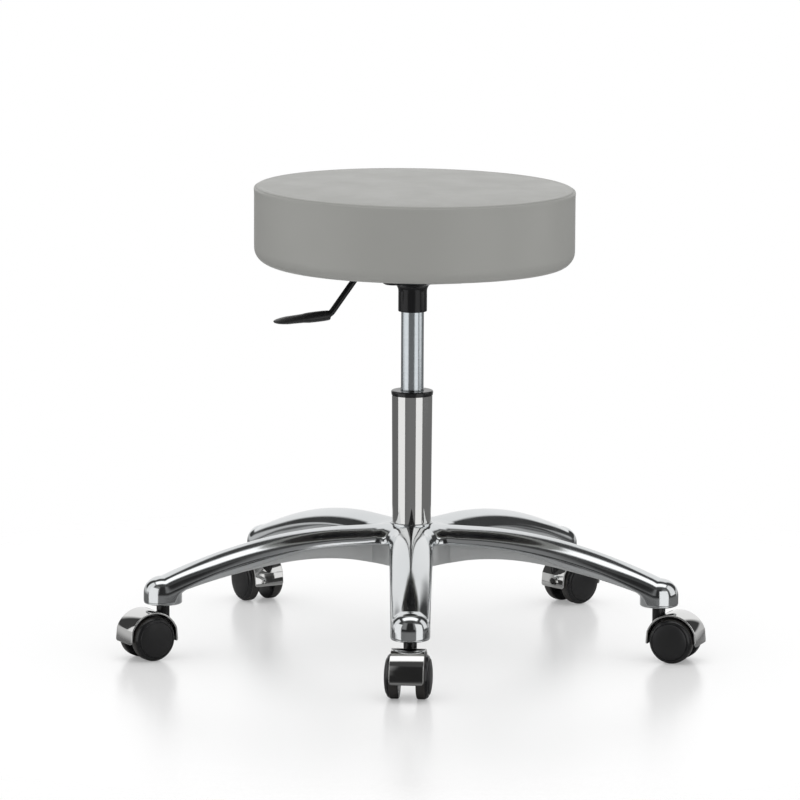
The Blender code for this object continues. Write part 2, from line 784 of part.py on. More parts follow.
def gas_cylinder_parts(parent):
    """Cylinder, the seal its rod comes out of, and the holder that its top sits in."""
    inner = CYLINDER_RADIUS - CYLINDER_WALL
    valve = bore(VALVE_RADIUS, SMALL_SIDES)
    cylinder = [
        (valve, CYLINDER_TOP),
        (CYLINDER_RADIUS, CYLINDER_TOP),
        (CYLINDER_RADIUS, CYLINDER_LOW),
        (inner, CYLINDER_LOW),
        (inner, CYLINDER_TOP - CYLINDER_HEAD),
        (valve, CYLINDER_TOP - CYLINDER_HEAD),
    ]
    turned("gas_cylinder", cylinder, "bare_steel", parent, TUBE_SIDES, ring=True)
    seal = ring_section(bore(ROD_RADIUS, SMALL_SIDES), inner - FIT, CYLINDER_LOW, CYLINDER_LOW + SEAL_HEIGHT)
    turned("rod_seal", seal, "rubber", parent, TUBE_SIDES, ring=True)
    grip = bore(CYLINDER_RADIUS, TUBE_SIDES)
    flare_low = HOLDER_TOP - (HOLDER_FLARE - HOLDER_RADIUS)
    holder = [
        (HOLDER_FLARE, HOLDER_TOP),
        (HOLDER_RADIUS + HOLDER_LIP / 2, flare_low + HOLDER_LIP),
        (HOLDER_RADIUS, flare_low - HOLDER_LIP),
        (HOLDER_RADIUS, HOLDER_LOW + HOLDER_CHAMFER),
        (HOLDER_RADIUS - HOLDER_CHAMFER, HOLDER_LOW),
        (grip, HOLDER_LOW),
        (grip, HOLDER_TOP),
    ]
    turned("seat_holder", holder, "black_steel", parent, TUBE_SIDES, ring=True)


# Seat tray and lever

def rounded_ring(half_x, half_y, corner, height):
    """Rounded rectangle about the tray's middle, seen from below so that its faces point out."""
    ring = []
    for quarter, (sign_x, sign_y) in enumerate(((1, 1), (-1, 1), (-1, -1), (1, -1))):
        centre = (TRAY_OFFSET + sign_x * (half_x - corner), sign_y * (half_y - corner))
        start = quarter * math.pi / 2
        ring += [(x, y, height) for x, y in arc(centre, corner, start, start + math.pi / 2, CORNER_STEPS)]
    return ring


def round_ring(radius, like, height):
    """Circle about the column axis with one point for each point of another ring."""
    ring = []
    for x, y, _ in like:
        angle = math.atan2(y, x - TRAY_OFFSET)
        ring.append((radius * math.cos(angle), radius * math.sin(angle), height))
    return ring


def bolt_places():
    """Plan places of the four tray bolts, in the corners of the flange."""
    x = PLATE_HALF[0] - BOLT_INSET
    y = PLATE_HALF[1] - BOLT_INSET
    return {
        "front_right": (TRAY_OFFSET + x, -y),
        "front_left": (TRAY_OFFSET - x, -y),
        "back_right": (TRAY_OFFSET + x, y),
        "back_left": (TRAY_OFFSET - x, y),
    }


def bolt_holes(obj, parent, low, high):
    """Drill an object for the tray bolts."""
    for corner, (x, y) in bolt_places().items():
        section = rod_section(bore(BOLT_RADIUS, SMALL_SIDES), low, high)
        drill = turned_tool(obj.name + "_drill_" + corner, section, SMALL_SIDES, parent)
        drill.location = (x, y, 0.0)
        combine(obj, drill, "DIFFERENCE")


def seat_tray(parent):
    """Pressed tray that carries the seat board, slotted for the lever."""
    half_x, half_y = TRAY_HALF
    top = TRAY_TOP - TRAY_SHEET
    floor_ring = rounded_ring(half_x, half_y, TRAY_CORNER, TRAY_LOW)
    splay = TRAY_SPLAY
    wall_ring = rounded_ring(half_x + splay, half_y + splay, TRAY_CORNER + splay, top)
    flange_ring = rounded_ring(*PLATE_HALF, PLATE_CORNER, top)
    rings = [round_ring(TRAY_HOLE, floor_ring, TRAY_LOW), floor_ring, wall_ring, flange_ring]
    tray = place("seat_tray", lofted("seat_tray", rings, closed_ends=False), "black_steel", parent)
    sheet = tray.modifiers.new("Sheet", "SOLIDIFY")
    sheet.thickness = TRAY_SHEET
    sheet.offset = -1.0
    sheet.use_even_offset = True
    slot_half = LEVER_RADIUS + SLOT_CLEAR
    slot_low = (TRAY_OFFSET - half_x - splay - OVERCUT, -slot_half, LEVER_Z - slot_half)
    slot_high = (TRAY_OFFSET - half_x + TRAY_SHEET + OVERCUT, slot_half, TRAY_LOW + SLOT_TOP)
    combine(tray, tool("lever_slot", box_mesh("lever_slot", slot_low, slot_high), parent), "DIFFERENCE")
    bolt_holes(tray, parent, top - OVERCUT, TRAY_TOP + OVERCUT)


def tray_bolts(parent):
    """Four bolts up through the flange into the seat board."""
    head_top = TRAY_TOP - TRAY_SHEET - TOUCH
    section = [
        (0.0, TRAY_TOP + BOLT_LENGTH),
        (BOLT_RADIUS, TRAY_TOP + BOLT_LENGTH),
        (BOLT_RADIUS, head_top),
        (BOLT_HEAD_RADIUS, head_top),
        (BOLT_HEAD_RADIUS, head_top - BOLT_HEAD_HEIGHT),
        (0.0, head_top - BOLT_HEAD_HEIGHT),
    ]
    for corner, (x, y) in bolt_places().items():
        bolt = turned("tray_bolt_" + corner, section, "zinc_steel", parent)
        bolt.location = (x, y, 0.0)


def lever_bracket(parent):
    """U bracket under the seat board, and the pin that the lever swings on."""
    inner = LEVER_RADIUS + BRACKET_CLEAR
    outer = inner + BRACKET_SHEET
    near, far = -PIVOT_REACH - BRACKET_HALF, -PIVOT_REACH + BRACKET_HALF
    low = LEVER_Z - BRACKET_EARS
    top = BOARD_LOW - TOUCH
    bracket_box = box_mesh("lever_bracket", (near, -outer, low), (far, outer, top))
    bracket = place("lever_bracket", bracket_box, "black_steel", parent)
    channel_low = (near - OVERCUT, -inner, low - OVERCUT)
    channel_high = (far + OVERCUT, inner, top - BRACKET_ROOF)
    channel = tool("bracket_channel", box_mesh("bracket_channel", channel_low, channel_high), parent)
    combine(bracket, channel, "DIFFERENCE")
    reach = outer + OVERCUT
    hole_section = rod_section(bore(PIVOT_PIN_RADIUS, SMALL_SIDES), -reach, reach)
    hole = turned_tool("bracket_hole", hole_section, SMALL_SIDES, parent)
    hole.location = (-PIVOT_REACH, 0.0, LEVER_Z)
    lay_along_y(hole)
    combine(bracket, hole, "DIFFERENCE")
    pin = turned("lever_pin", rod_section(PIVOT_PIN_RADIUS, -outer, outer), "zinc_steel", parent)
    pin.location = hole.location
    lay_along_y(pin)


def lever_path():
    """Corner points of the lever rod in the XZ plane, from over the valve out into the paddle."""
    knee = (-LEVER_FLAT, LEVER_Z)
    ankle = (knee[0] - LEVER_DROP / math.tan(LEVER_SLOPE), LEVER_Z - LEVER_DROP)
    tail_x = ankle[0] - LEVER_TAIL * math.cos(PADDLE_SLOPE)
    tail = (tail_x, ankle[1] - LEVER_TAIL * math.sin(PADDLE_SLOPE))
    return [(LEVER_OVERHANG, LEVER_Z), knee, ankle, tail]


def lever_rod(parent):
    """Bent rod, made about the pivot so that its origin lies on the joint axis."""
    path = bent_path(lever_path(), LEVER_BEND)
    path = [(x + PIVOT_REACH, z - LEVER_Z) for x, z in path]
    mesh = baked(tool("lever_rod_curve", bent_rod("lever_rod_curve", path, LEVER_RADIUS)))
    rod = place("lever_rod", mesh, "black_steel", parent)
    reach = LEVER_RADIUS + OVERCUT
    hole_section = rod_section(bore(PIVOT_PIN_RADIUS, SMALL_SIDES), -reach, reach)
    hole = turned_tool("lever_hole", hole_section, SMALL_SIDES, parent)
    lay_along_y(hole)
    combine(rod, hole, "DIFFERENCE")


def lever_paddle(parent):
    """Moulded paddle over the lever's tail."""
    path = lever_path()
    ankle, tail = Vector(path[2]), Vector(path[3])
    along = (tail - ankle).normalized()
    upward = Vector((-along.y, along.x))
    if upward.y < 0.0:
        upward = -upward
    origin = Vector((-PIVOT_REACH, LEVER_Z))
    rings = []
    for distance, half_width, half_height in PADDLE_SECTIONS:
        ring = []
        for i in range(PADDLE_SIDES):
            angle = 2 * math.pi * (i + 0.5) / PADDLE_SIDES
            middle = ankle + along * distance - origin
            lift = upward * half_height * math.sin(angle)
            ring.append((middle.x + lift.x, half_width * math.cos(angle), middle.y + lift.y))
        rings.append(ring)
    paddle = place("lever_paddle", lofted("lever_paddle", rings), "black_plastic", parent)
    corners = [(x + PIVOT_REACH, z - LEVER_Z) for x, z in path]
    end = Vector(corners[3]) + along * TOUCH
    route = bent_path([corners[1], corners[2], tuple(end)], LEVER_BEND)
    socket_curve = bent_rod("socket_curve", route, LEVER_RADIUS + FIT)
    socket = tool("paddle_socket", baked(tool("socket_curve", socket_curve)), parent)
    combine(paddle, socket, "DIFFERENCE")


def valve_pin(parent):
    """Release pin in the cylinder head, under the lever's inner end."""
    section = rod_section(VALVE_RADIUS, VALVE_TOP - VALVE_LENGTH, VALVE_TOP)
    turned("valve_pin", section, "bare_steel", parent)


# Seat

def seat_board(parent):
    """Plywood disc under the foam."""
    section = rod_section(BOARD_RADIUS, BOARD_LOW, BOARD_TOP)
    board = turned("seat_board", section, "plywood", parent, SEAT_SIDES)
    bolt_holes(board, parent, BOARD_LOW - OVERCUT, BOARD_TOP + OVERCUT)


def cover_profile(inset):
    """Outer line of the cushion, from its crown to its foot, drawn in by an inset all round."""
    rim_z = SEAT_TOP - RIM_ROUND
    foot_z = SEAT_LOW + FOOT_ROUND
    seam = SEAT_RADIUS - SEAM_INSET
    side = SEAT_RADIUS - SEAT_BULGE
    profile = [
        (0.0, SEAT_TOP + SEAT_CROWN - inset),
        (SEAT_RADIUS * CROWN_POINT[0], SEAT_TOP + SEAT_CROWN * CROWN_POINT[1] - inset),
        (seam - SEAM_HALF, SEAT_TOP - inset),
        (seam, SEAT_TOP - SEAM_DEPTH - inset),
    ]
    profile += arc((side - RIM_ROUND, rim_z), RIM_ROUND - inset, math.pi / 2, 0.0, RIM_STEPS)
    profile.append((SEAT_RADIUS - inset, (rim_z + foot_z) / 2))
    profile += arc((side - FOOT_ROUND, foot_z), FOOT_ROUND - inset, 0.0, -math.pi / 2, FOOT_STEPS)
    return profile


def seat_foam(parent):
    """Foam pad over the board and down round its edge."""
    clear = bore(BOARD_RADIUS, SEAT_SIDES)
    inset = COVER_SHEET + TOUCH
    foot = cover_profile(inset)
    section = foot + [
        (clear, SEAT_LOW + inset),
        (clear, BOARD_TOP + TOUCH),
        (0.0, BOARD_TOP + TOUCH),
    ]
    turned("seat_foam", section, "foam", parent, SEAT_SIDES)


def seat_cover(parent):
    """Sewn cover: crowned top panel, boxing round the side, and a hem stapled under the board."""
    outer = cover_profile(0.0)
    outer.append((BOARD_RADIUS - HEM_WIDTH, SEAT_LOW))
    inner = cover_profile(COVER_SHEET)
    inner.append((BOARD_RADIUS - HEM_WIDTH, SEAT_LOW + COVER_SHEET))
    turned("seat_cover", outer + inner[::-1], "vinyl", parent, SEAT_SIDES)


# Assembly

def build():
    """Put the stool together on its joint axes."""
    low, high = plan_box()
    middle = (low + high) / 2
    frame = axis_empty("stool_frame", (-middle.x, -middle.y, 0.0))
    swivel = axis_empty("swivel_axis", (0.0, 0.0, 0.0), frame)
    lift = axis_empty("lift_axis", (0.0, 0.0, 0.0), swivel)
    tray = axis_empty("tray_frame", (0.0, 0.0, 0.0), lift, TRAY_TURN)
    lever = axis_empty("lever_axis", (-PIVOT_REACH, 0.0, LEVER_Z), tray)

    star_base(frame)
    body_mesh = caster_body_mesh()
    hood_mesh = caster_hood_mesh()
    for side, angle in ARM_ANGLES.items():
        caster(side, angle, frame, body_mesh, hood_mesh)

    outer_column(frame)
    guide_bush(frame)
    thrust_bearing(frame, swivel)
    spindle_parts(swivel)
    gas_cylinder_parts(lift)
    valve_pin(lift)

    seat_tray(tray)
    tray_bolts(tray)
    lever_bracket(tray)
    lever_rod(lever)
    lever_paddle(lever)
    seat_board(tray)
    seat_foam(lift)
    seat_cover(lift)
    print("column axis at x %.5f y %.5f" % (-middle.x, -middle.y))


clear_scene()
PARTS = new_collection("swivel_stool")
TOOLS = new_collection("shaping_tools")
build()
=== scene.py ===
# %% [markdown]
# # A swivel stool, dressed for the studio
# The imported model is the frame: every piece below sits where that model says, moves with one of its bodies,
# and is a little finer than the solid that it stands for. It could be drawn freehand to the picture, but
# then nothing would turn about the right axis, so the frame comes first.

# %% Load the frame
import json
import math
import bpy
import bmesh
from mathutils import Matrix, Vector

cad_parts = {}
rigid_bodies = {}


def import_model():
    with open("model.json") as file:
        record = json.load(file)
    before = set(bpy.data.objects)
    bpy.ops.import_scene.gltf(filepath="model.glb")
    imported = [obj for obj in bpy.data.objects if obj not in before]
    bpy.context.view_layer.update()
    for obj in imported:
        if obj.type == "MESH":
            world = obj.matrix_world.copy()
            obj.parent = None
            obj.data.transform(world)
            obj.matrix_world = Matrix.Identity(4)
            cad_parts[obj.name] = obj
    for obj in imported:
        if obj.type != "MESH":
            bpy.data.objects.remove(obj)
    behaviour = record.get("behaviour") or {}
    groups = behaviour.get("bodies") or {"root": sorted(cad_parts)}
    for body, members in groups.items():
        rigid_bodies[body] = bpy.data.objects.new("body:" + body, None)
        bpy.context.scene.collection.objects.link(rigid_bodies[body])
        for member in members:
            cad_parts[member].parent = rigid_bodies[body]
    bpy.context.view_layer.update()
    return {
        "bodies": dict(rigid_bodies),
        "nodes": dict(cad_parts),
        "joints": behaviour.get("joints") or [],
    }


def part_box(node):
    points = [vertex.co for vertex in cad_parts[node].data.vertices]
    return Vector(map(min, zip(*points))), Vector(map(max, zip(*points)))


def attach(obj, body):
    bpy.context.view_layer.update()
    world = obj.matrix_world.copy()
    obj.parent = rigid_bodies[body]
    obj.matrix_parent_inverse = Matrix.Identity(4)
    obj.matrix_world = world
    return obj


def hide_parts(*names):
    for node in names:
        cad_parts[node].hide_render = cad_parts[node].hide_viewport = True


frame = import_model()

scene = bpy.context.scene
kept = set(frame["nodes"].values()) | set(frame["bodies"].values())
for stray in [thing for thing in bpy.data.objects if thing not in kept]:
    bpy.data.objects.remove(stray)
JOINTS = {joint["name"]: joint for joint in frame["joints"]}
AXIS = Vector(JOINTS["seat_swivel"]["pos_m"])
SIDES = ("front", "right", "back_right", "back_left", "left")
print("frame of", len(frame["nodes"]), "nodes, column at", [round(value, 4) for value in AXIS])

# %% [markdown]
# ## Working by hand
# Each piece starts as a primitive, is shaped in edit mode and is finished with modifiers that are applied.
# The steps could be written out for every piece, but then what differs would be lost among what repeats.
# So a few helpers hold the common steps: select a piece, open a primitive, stack rings on it, close it, and
# set it down with its place in its mesh.

# %% Select a piece, open a primitive and set it down
MM = 0.001


def deselect():
    """Leaves edit mode with nothing selected, so that an operator acts only on what comes next."""
    if bpy.context.object and bpy.context.object.mode != "OBJECT":
        bpy.ops.object.mode_set(mode="OBJECT")
    bpy.ops.object.select_all(action="DESELECT")


def pick(active, *others):
    """Selects some pieces and nothing else, and makes the first of them active."""
    deselect()
    for piece in (active, *others):
        piece.select_set(True)
    bpy.context.view_layer.objects.active = active


def begin(name, add, **shape):
    """Adds a primitive at its size and place, and opens it in edit mode."""
    deselect()
    add(**shape)
    piece = bpy.context.object
    piece.name = name
    bpy.ops.object.mode_set(mode="EDIT")
    return piece


def place_in_mesh():
    """Puts the place of the selected piece into its mesh."""
    bpy.ops.object.transform_apply(location=True, rotation=True, scale=True)


def settle(piece, angle=35.0):
    """Puts the place of a piece into its mesh and shades it smooth up to an angle."""
    pick(piece)
    place_in_mesh()
    bpy.ops.object.shade_smooth_by_angle(angle=math.radians(angle))
    print("made", piece.name, len(piece.data.polygons), "faces")
    return piece


print("helpers for whole pieces ready")


# %% Stack rings, close a shape and pick out its edges
def draw_out(rise, scale, middle):
    """Extrudes the selected edges by a move, and scales the new ones about a point."""
    bpy.ops.mesh.extrude_edges_move(TRANSFORM_OT_translate={"value": rise})
    bpy.ops.transform.resize(value=scale, center_override=middle)


def stack_rings(profile, centre):
    """Draws the selected ring out along (radius, height) pairs about an upright axis."""
    for (radius, height), (next_radius, next_height) in zip(profile, profile[1:]):
        scale = next_radius / radius
        middle = (centre[0], centre[1], next_height)
        draw_out((0.0, 0.0, next_height - height), (scale, scale, 1.0), middle)


def close_up():
    """Merges doubles, fills open ends and turns every face outwards."""
    bpy.ops.mesh.select_all(action="SELECT")
    bpy.ops.mesh.remove_doubles(threshold=0.005 * MM)
    bpy.ops.mesh.fill_holes(sides=0)
    bpy.ops.mesh.normals_make_consistent(inside=False)


def turned(name, profile, centre, sides=96):
    """Turns a profile of (radius, height) about an upright axis and closes what is left open."""
    radius, height = profile[0]
    spot = (centre[0], centre[1], height)
    piece = begin(name, bpy.ops.mesh.primitive_circle_add, vertices=sides, radius=radius, location=spot)
    stack_rings(profile, centre)
    close_up()
    return piece


def face_out():
    """Selects the whole of the open mesh and turns its faces outwards."""
    bpy.ops.mesh.select_all(action="SELECT")
    bpy.ops.mesh.normals_make_consistent(inside=False)


def select_edges(piece, test):
    """Selects the edges of the open mesh whose two ends pass a test."""
    mesh = bmesh.from_edit_mesh(piece.data)
    bpy.ops.mesh.select_all(action="DESELECT")
    bpy.ops.mesh.select_mode(type="EDGE")
    for edge in mesh.edges:
        if test(edge.verts[0].co, edge.verts[1].co):
            edge.select_set(True)
    bmesh.update_edit_mesh(piece.data)


print("helpers for open meshes ready")


# %% Finish, join and copy pieces
def apply_modifier(piece, kind, **settings):
    """Adds a modifier, gives it its settings and applies it."""
    pick(piece)
    modifier = piece.modifiers.new(kind, kind)
    for key, value in settings.items():
        setattr(modifier, key, value)
    bpy.ops.object.modifier_apply(modifier=modifier.name)


def thicken(piece, wall):
    """Gives a sheet its wall, on the inner side."""
    apply_modifier(piece, "SOLIDIFY", thickness=wall, offset=-1.0, use_even_offset=True)


def roll_edges(piece, width, segments, angle):
    """Rounds the edges that turn by more than an angle in degrees."""
    limit = math.radians(angle)
    apply_modifier(piece, "BEVEL", width=width, segments=segments, limit_method="ANGLE", angle_limit=limit)


def cut_out(piece, cutter):
    """Cuts the shape of a cutter out of a piece, and removes the cutter."""
    apply_modifier(piece, "BOOLEAN", object=cutter, operation="DIFFERENCE", solver="EXACT")
    bpy.data.objects.remove(cutter)


def join(active, *others):
    """Makes one piece of several; the first one keeps its name."""
    pick(active, *others)
    bpy.ops.object.join()


def copy_to(source, name, spot, heading):
    """Copies a piece with its own mesh, turned about the upright axis and set down at a spot."""
    pick(source)
    bpy.ops.object.duplicate(linked=False)
    copy = bpy.context.object
    copy.name = name
    copy.rotation_euler = (0.0, 0.0, heading)
    copy.location = spot
    place_in_mesh()
    return copy


def stand_on_axis(piece, turn, angle=40.0):
    """Turns a piece that was made round the origin, and sets it down on the axis of the column."""
    piece.rotation_euler.z = turn
    piece.location = (AXIS.x, AXIS.y, 0.0)
    settle(piece, angle)


print("helpers for finishing ready")


# %% Arcs and soft steps
def arc(centre, radius, first, last, steps):
    """Points of an arc in a profile, from one angle to another in degrees."""
    points = []
    for step in range(steps + 1):
        angle = math.radians(first + (last - first) * step / steps)
        points.append((centre[0] + radius * math.cos(angle), centre[1] + radius * math.sin(angle)))
    return points


def eased(value):
    """Goes smoothly from 0 to 1."""
    value = min(1.0, max(0.0, value))
    return value * value * (3.0 - 2.0 * value)


print("a quarter of the way is eased to", eased(0.25))

# %% [markdown]
# ## Shared effects for the finishes
# No real surface is one flat colour: vinyl has pores and a soft drift of tone, metal has handling marks,
# plastic has the fine grain of its mould. Each effect is one node group with its own inputs, so that every
# finish below can use it at its own scale. Painted pictures could do it too, but they need unwrapped meshes.

# %% Node helpers
NUMBER, COLOUR, VECTOR = "NodeSocketFloat", "NodeSocketColor", "NodeSocketVector"


def node(tree, kind, **settings):
    """Adds a node; a setting is an input's value where an input has that name, or else a property."""
    made = tree.nodes.new(kind)
    for key, value in settings.items():
        socket = key.replace("_", " ").title()
        if socket in made.inputs and not hasattr(made, key):
            made.inputs[socket].default_value = value
        else:
            setattr(made, key, value)
    return made


def set_inputs(made, values):
    """Sets inputs of a node by their full names."""
    for name, value in values.items():
        made.inputs[name].default_value = value


def math_node(tree, operation, first, second=None, third=None):
    """Adds a math node; each operand is a number or an output socket. Returns its output."""
    made = tree.nodes.new("ShaderNodeMath")
    made.operation = operation
    for socket, value in zip(made.inputs, (first, second, third)):
        if value is None:
            continue
        if isinstance(value, (int, float)):
            socket.default_value = value
        else:
            tree.links.new(value, socket)
    return made.outputs[0]


def new_group(name, inputs, outputs):
    """Starts a shader node group with named sockets, and returns it with its two end nodes."""
    group = bpy.data.node_groups.new(name, "ShaderNodeTree")
    for label, kind, value in inputs:
        socket = group.interface.new_socket(name=label, in_out="INPUT", socket_type=kind)
        if value is not None:
            socket.default_value = value
    for label, kind in outputs:
        group.interface.new_socket(name=label, in_out="OUTPUT", socket_type=kind)
    print("group", name)
    return group, group.nodes.new("NodeGroupInput"), group.nodes.new("NodeGroupOutput")


print("helpers for nodes ready")

# %% Grain: the relief of a skin, a casting or a mould
grain, grain_in, grain_out = new_group(
    "grain",
    (("Place", VECTOR, None), ("Cells per metre", NUMBER, 800.0), ("Softness", NUMBER, 0.5)),
    (("Height", NUMBER),),
)
cells = node(grain, "ShaderNodeTexVoronoi", feature="SMOOTH_F1")
speckle = node(grain, "ShaderNodeTexNoise", detail=3.0)
grain_mix = node(grain, "ShaderNodeMix", data_type="FLOAT")
for texture in (cells, speckle):
    grain.links.new(grain_in.outputs["Place"], texture.inputs["Vector"])
    grain.links.new(grain_in.outputs["Cells per metre"], texture.inputs["Scale"])
grain.links.new(grain_in.outputs["Softness"], grain_mix.inputs["Factor"])
grain.links.new(cells.outputs["Distance"], grain_mix.inputs["A"])
grain.links.new(speckle.outputs["Fac"], grain_mix.inputs["B"])
grain.links.new(grain_mix.outputs["Result"], grain_out.inputs["Height"])

# %% Marks: where hands and cloths have dulled or polished a surface
marks, marks_in, marks_out = new_group(
    "marks",
    (
        ("Place", VECTOR, None), ("Patches per metre", NUMBER, 14.0),
        ("Low", NUMBER, 0.1), ("High", NUMBER, 0.2),
    ),
    (("Roughness", NUMBER),),
)
patches = node(marks, "ShaderNodeTexNoise", detail=4.0, roughness=0.6)
gloss_range = node(marks, "ShaderNodeMapRange", from_min=0.32, from_max=0.68)
marks.links.new(marks_in.outputs["Place"], patches.inputs["Vector"])
marks.links.new(marks_in.outputs["Patches per metre"], patches.inputs["Scale"])
marks.links.new(patches.outputs["Fac"], gloss_range.inputs["Value"])
marks.links.new(marks_in.outputs["Low"], gloss_range.inputs["To Min"])
marks.links.new(marks_in.outputs["High"], gloss_range.inputs["To Max"])
marks.links.new(gloss_range.outputs["Result"], marks_out.inputs["Roughness"])

# %% Drift: a slow change of tone between two colours
drift, drift_in, drift_out = new_group(
    "drift",
    (
        ("Place", VECTOR, None), ("Waves per metre", NUMBER, 8.0),
        ("Deep", COLOUR, None), ("Pale", COLOUR, None),
    ),
    (("Colour", COLOUR),),
)
waves = node(drift, "ShaderNodeTexNoise", detail=2.0)
tone = node(drift, "ShaderNodeMix", data_type="RGBA")
drift.links.new(drift_in.outputs["Place"], waves.inputs["Vector"])
drift.links.new(drift_in.outputs["Waves per metre"], waves.inputs["Scale"])
drift.links.new(waves.outputs["Fac"], tone.inputs["Factor"])
drift.links.new(drift_in.outputs["Deep"], tone.inputs[6])
drift.links.new(drift_in.outputs["Pale"], tone.inputs[7])
drift.links.new(tone.outputs[2], drift_out.inputs["Colour"])

# %% One finish from the three effects
COAT_ROUGHNESS = 0.05


def finish(
    name, deep, pale, roughness, metallic=0.0, waves_per_metre=8.0, patches_per_metre=14.0,
    cells_per_metre=900.0, softness=0.5, relief=0.1, depth=0.0001, stretch=(1.0, 1.0, 1.0),
    coat=0.0, specular=0.5,
):
    """Makes a material whose tone drifts, whose gloss has marks and whose grain is in relief."""
    material = bpy.data.materials.new(name)
    material.use_nodes = True
    tree = material.node_tree
    shader = tree.nodes["Principled BSDF"]
    set_inputs(shader, {"Metallic": metallic, "Specular IOR Level": specular})
    set_inputs(shader, {"Coat Weight": coat, "Coat Roughness": COAT_ROUGHNESS})
    place = node(tree, "ShaderNodeTexCoord").outputs["Object"]
    mapping = node(tree, "ShaderNodeMapping")
    set_inputs(mapping, {"Scale": stretch})
    tree.links.new(place, mapping.inputs["Vector"])
    values = (
        {"Waves per metre": waves_per_metre, "Deep": (*deep, 1.0), "Pale": (*pale, 1.0)},
        {"Patches per metre": patches_per_metre, "Low": roughness[0], "High": roughness[1]},
        {"Cells per metre": cells_per_metre, "Softness": softness},
    )
    effects = []
    for group, inputs in zip((drift, marks, grain), values):
        effect = tree.nodes.new("ShaderNodeGroup")
        effect.node_tree = group
        set_inputs(effect, inputs)
        tree.links.new(mapping.outputs["Vector"], effect.inputs["Place"])
        effects.append(effect)
    toned, marked, grained = effects
    bump = node(tree, "ShaderNodeBump", strength=relief, distance=depth)
    tree.links.new(toned.outputs["Colour"], shader.inputs["Base Color"])
    tree.links.new(marked.outputs["Roughness"], shader.inputs["Roughness"])
    tree.links.new(grained.outputs["Height"], bump.inputs["Height"])
    tree.links.new(bump.outputs["Normal"], shader.inputs["Normal"])
    return material


print("a finish mixes", len(bpy.data.node_groups), "effects")

# %% [markdown]
# ## The finishes
# The seat is a smooth grey vinyl with a satin gloss. The column and the caster hoods are chrome plated, the
# base is a casting polished on top and left satin below, the slim tube is ground steel, and the rest is
# black: gloss paint on the tray and its socket, nylon on the wheels, a satin moulding on the paddle. Each
# could be a plain colour, but then all would look like one plastic, so each mixes the three effects.

# %% Finishes of the pieces that show
vinyl = finish(
    "grey_vinyl", (0.395, 0.395, 0.375), (0.425, 0.427, 0.405), (0.34, 0.44), waves_per_metre=5.0,
    patches_per_metre=22.0, cells_per_metre=1100.0, softness=0.35, relief=0.10, depth=0.0002, specular=0.45,
)
chrome = finish(
    "chrome_plate", (0.74, 0.74, 0.73), (0.80, 0.80, 0.79), (0.03, 0.08), metallic=1.0,
    patches_per_metre=30.0, cells_per_metre=260.0, softness=1.0, relief=0.02,
)
polished = finish(
    "polished_casting", (0.69, 0.71, 0.72), (0.79, 0.81, 0.82), (0.07, 0.15), metallic=1.0,
    patches_per_metre=26.0, cells_per_metre=140.0, softness=1.0, relief=0.06, depth=0.0003,
)
satin = finish(
    "satin_casting", (0.60, 0.61, 0.61), (0.72, 0.73, 0.73), (0.42, 0.55), metallic=0.45,
    cells_per_metre=900.0, relief=0.35, depth=0.0003,
)
ground = finish(
    "ground_steel", (0.62, 0.67, 0.70), (0.72, 0.76, 0.79), (0.16, 0.24), metallic=1.0,
    stretch=(1.0, 1.0, 40.0), cells_per_metre=60.0, softness=1.0, relief=0.05,
)
gloss_black = finish(
    "black_gloss_paint", (0.008, 0.008, 0.009), (0.014, 0.014, 0.015), (0.18, 0.28),
    cells_per_metre=420.0, softness=1.0, relief=0.06, coat=0.1, specular=0.3,
)
nylon = finish(
    "black_nylon_gloss", (0.010, 0.010, 0.011), (0.018, 0.018, 0.019), (0.14, 0.26),
    cells_per_metre=600.0, softness=1.0, relief=0.05,
)
wheel_face = finish(
    "black_nylon_satin", (0.012, 0.012, 0.013), (0.026, 0.026, 0.027), (0.34, 0.52),
    patches_per_metre=60.0, cells_per_metre=1500.0, relief=0.2,
)
tread = finish(
    "worn_nylon", (0.034, 0.032, 0.030), (0.052, 0.049, 0.046), (0.30, 0.42),
    patches_per_metre=60.0, cells_per_metre=1500.0, relief=0.2,
)
moulded = finish(
    "black_moulding", (0.016, 0.016, 0.017), (0.030, 0.030, 0.031), (0.34, 0.46),
    cells_per_metre=1600.0, relief=0.25,
)
print("finishes", len(bpy.data.materials))

# %% Finishes of what lies underneath and inside
zinc = finish(
    "zinc_plate", (0.50, 0.50, 0.47), (0.62, 0.63, 0.62), (0.28, 0.42), metallic=1.0,
    waves_per_metre=120.0, cells_per_metre=700.0, relief=0.15,
)
steel = finish(
    "turned_steel", (0.46, 0.47, 0.48), (0.58, 0.59, 0.60), (0.20, 0.32), metallic=1.0,
    stretch=(1.0, 1.0, 30.0), cells_per_metre=90.0, relief=0.08,
)
rubber = finish(
    "black_rubber", (0.020, 0.020, 0.020), (0.035, 0.035, 0.035), (0.7, 0.9),
    cells_per_metre=1200.0, relief=0.3,
)
# The board is given a very dark tone, so that the underside of the seat shows dark in the polished arms below
# it.
plywood = finish(
    "darkened_plywood", (0.030, 0.027, 0.024), (0.060, 0.055, 0.050), (0.6, 0.8), waves_per_metre=60.0,
    stretch=(0.12, 1.0, 1.0), cells_per_metre=300.0, softness=1.0, relief=0.25,
)
ZINC_STARTS = ("tray_bolt", "caster_stem", "caster_axle")
NODE_FINISHES = {
    zinc: ["ball_cage", "clip_washer", "lever_pin"],
    steel: ["lower_race", "upper_race", "retaining_clip", "valve_pin"],
    chrome: ["piston_rod"],
    rubber: ["rubber_buffer", "rod_seal"],
    moulded: ["piston"],
    plywood: ["seat_board"],
    gloss_black: ["lever_bracket"],
}
NODE_FINISHES[zinc] += [name for name in frame["nodes"] if name.startswith(ZINC_STARTS)]


def coat_with(mesh, *materials):
    """Gives a mesh these materials in place of those that it has."""
    mesh.materials.clear()
    for material in materials:
        mesh.materials.append(material)


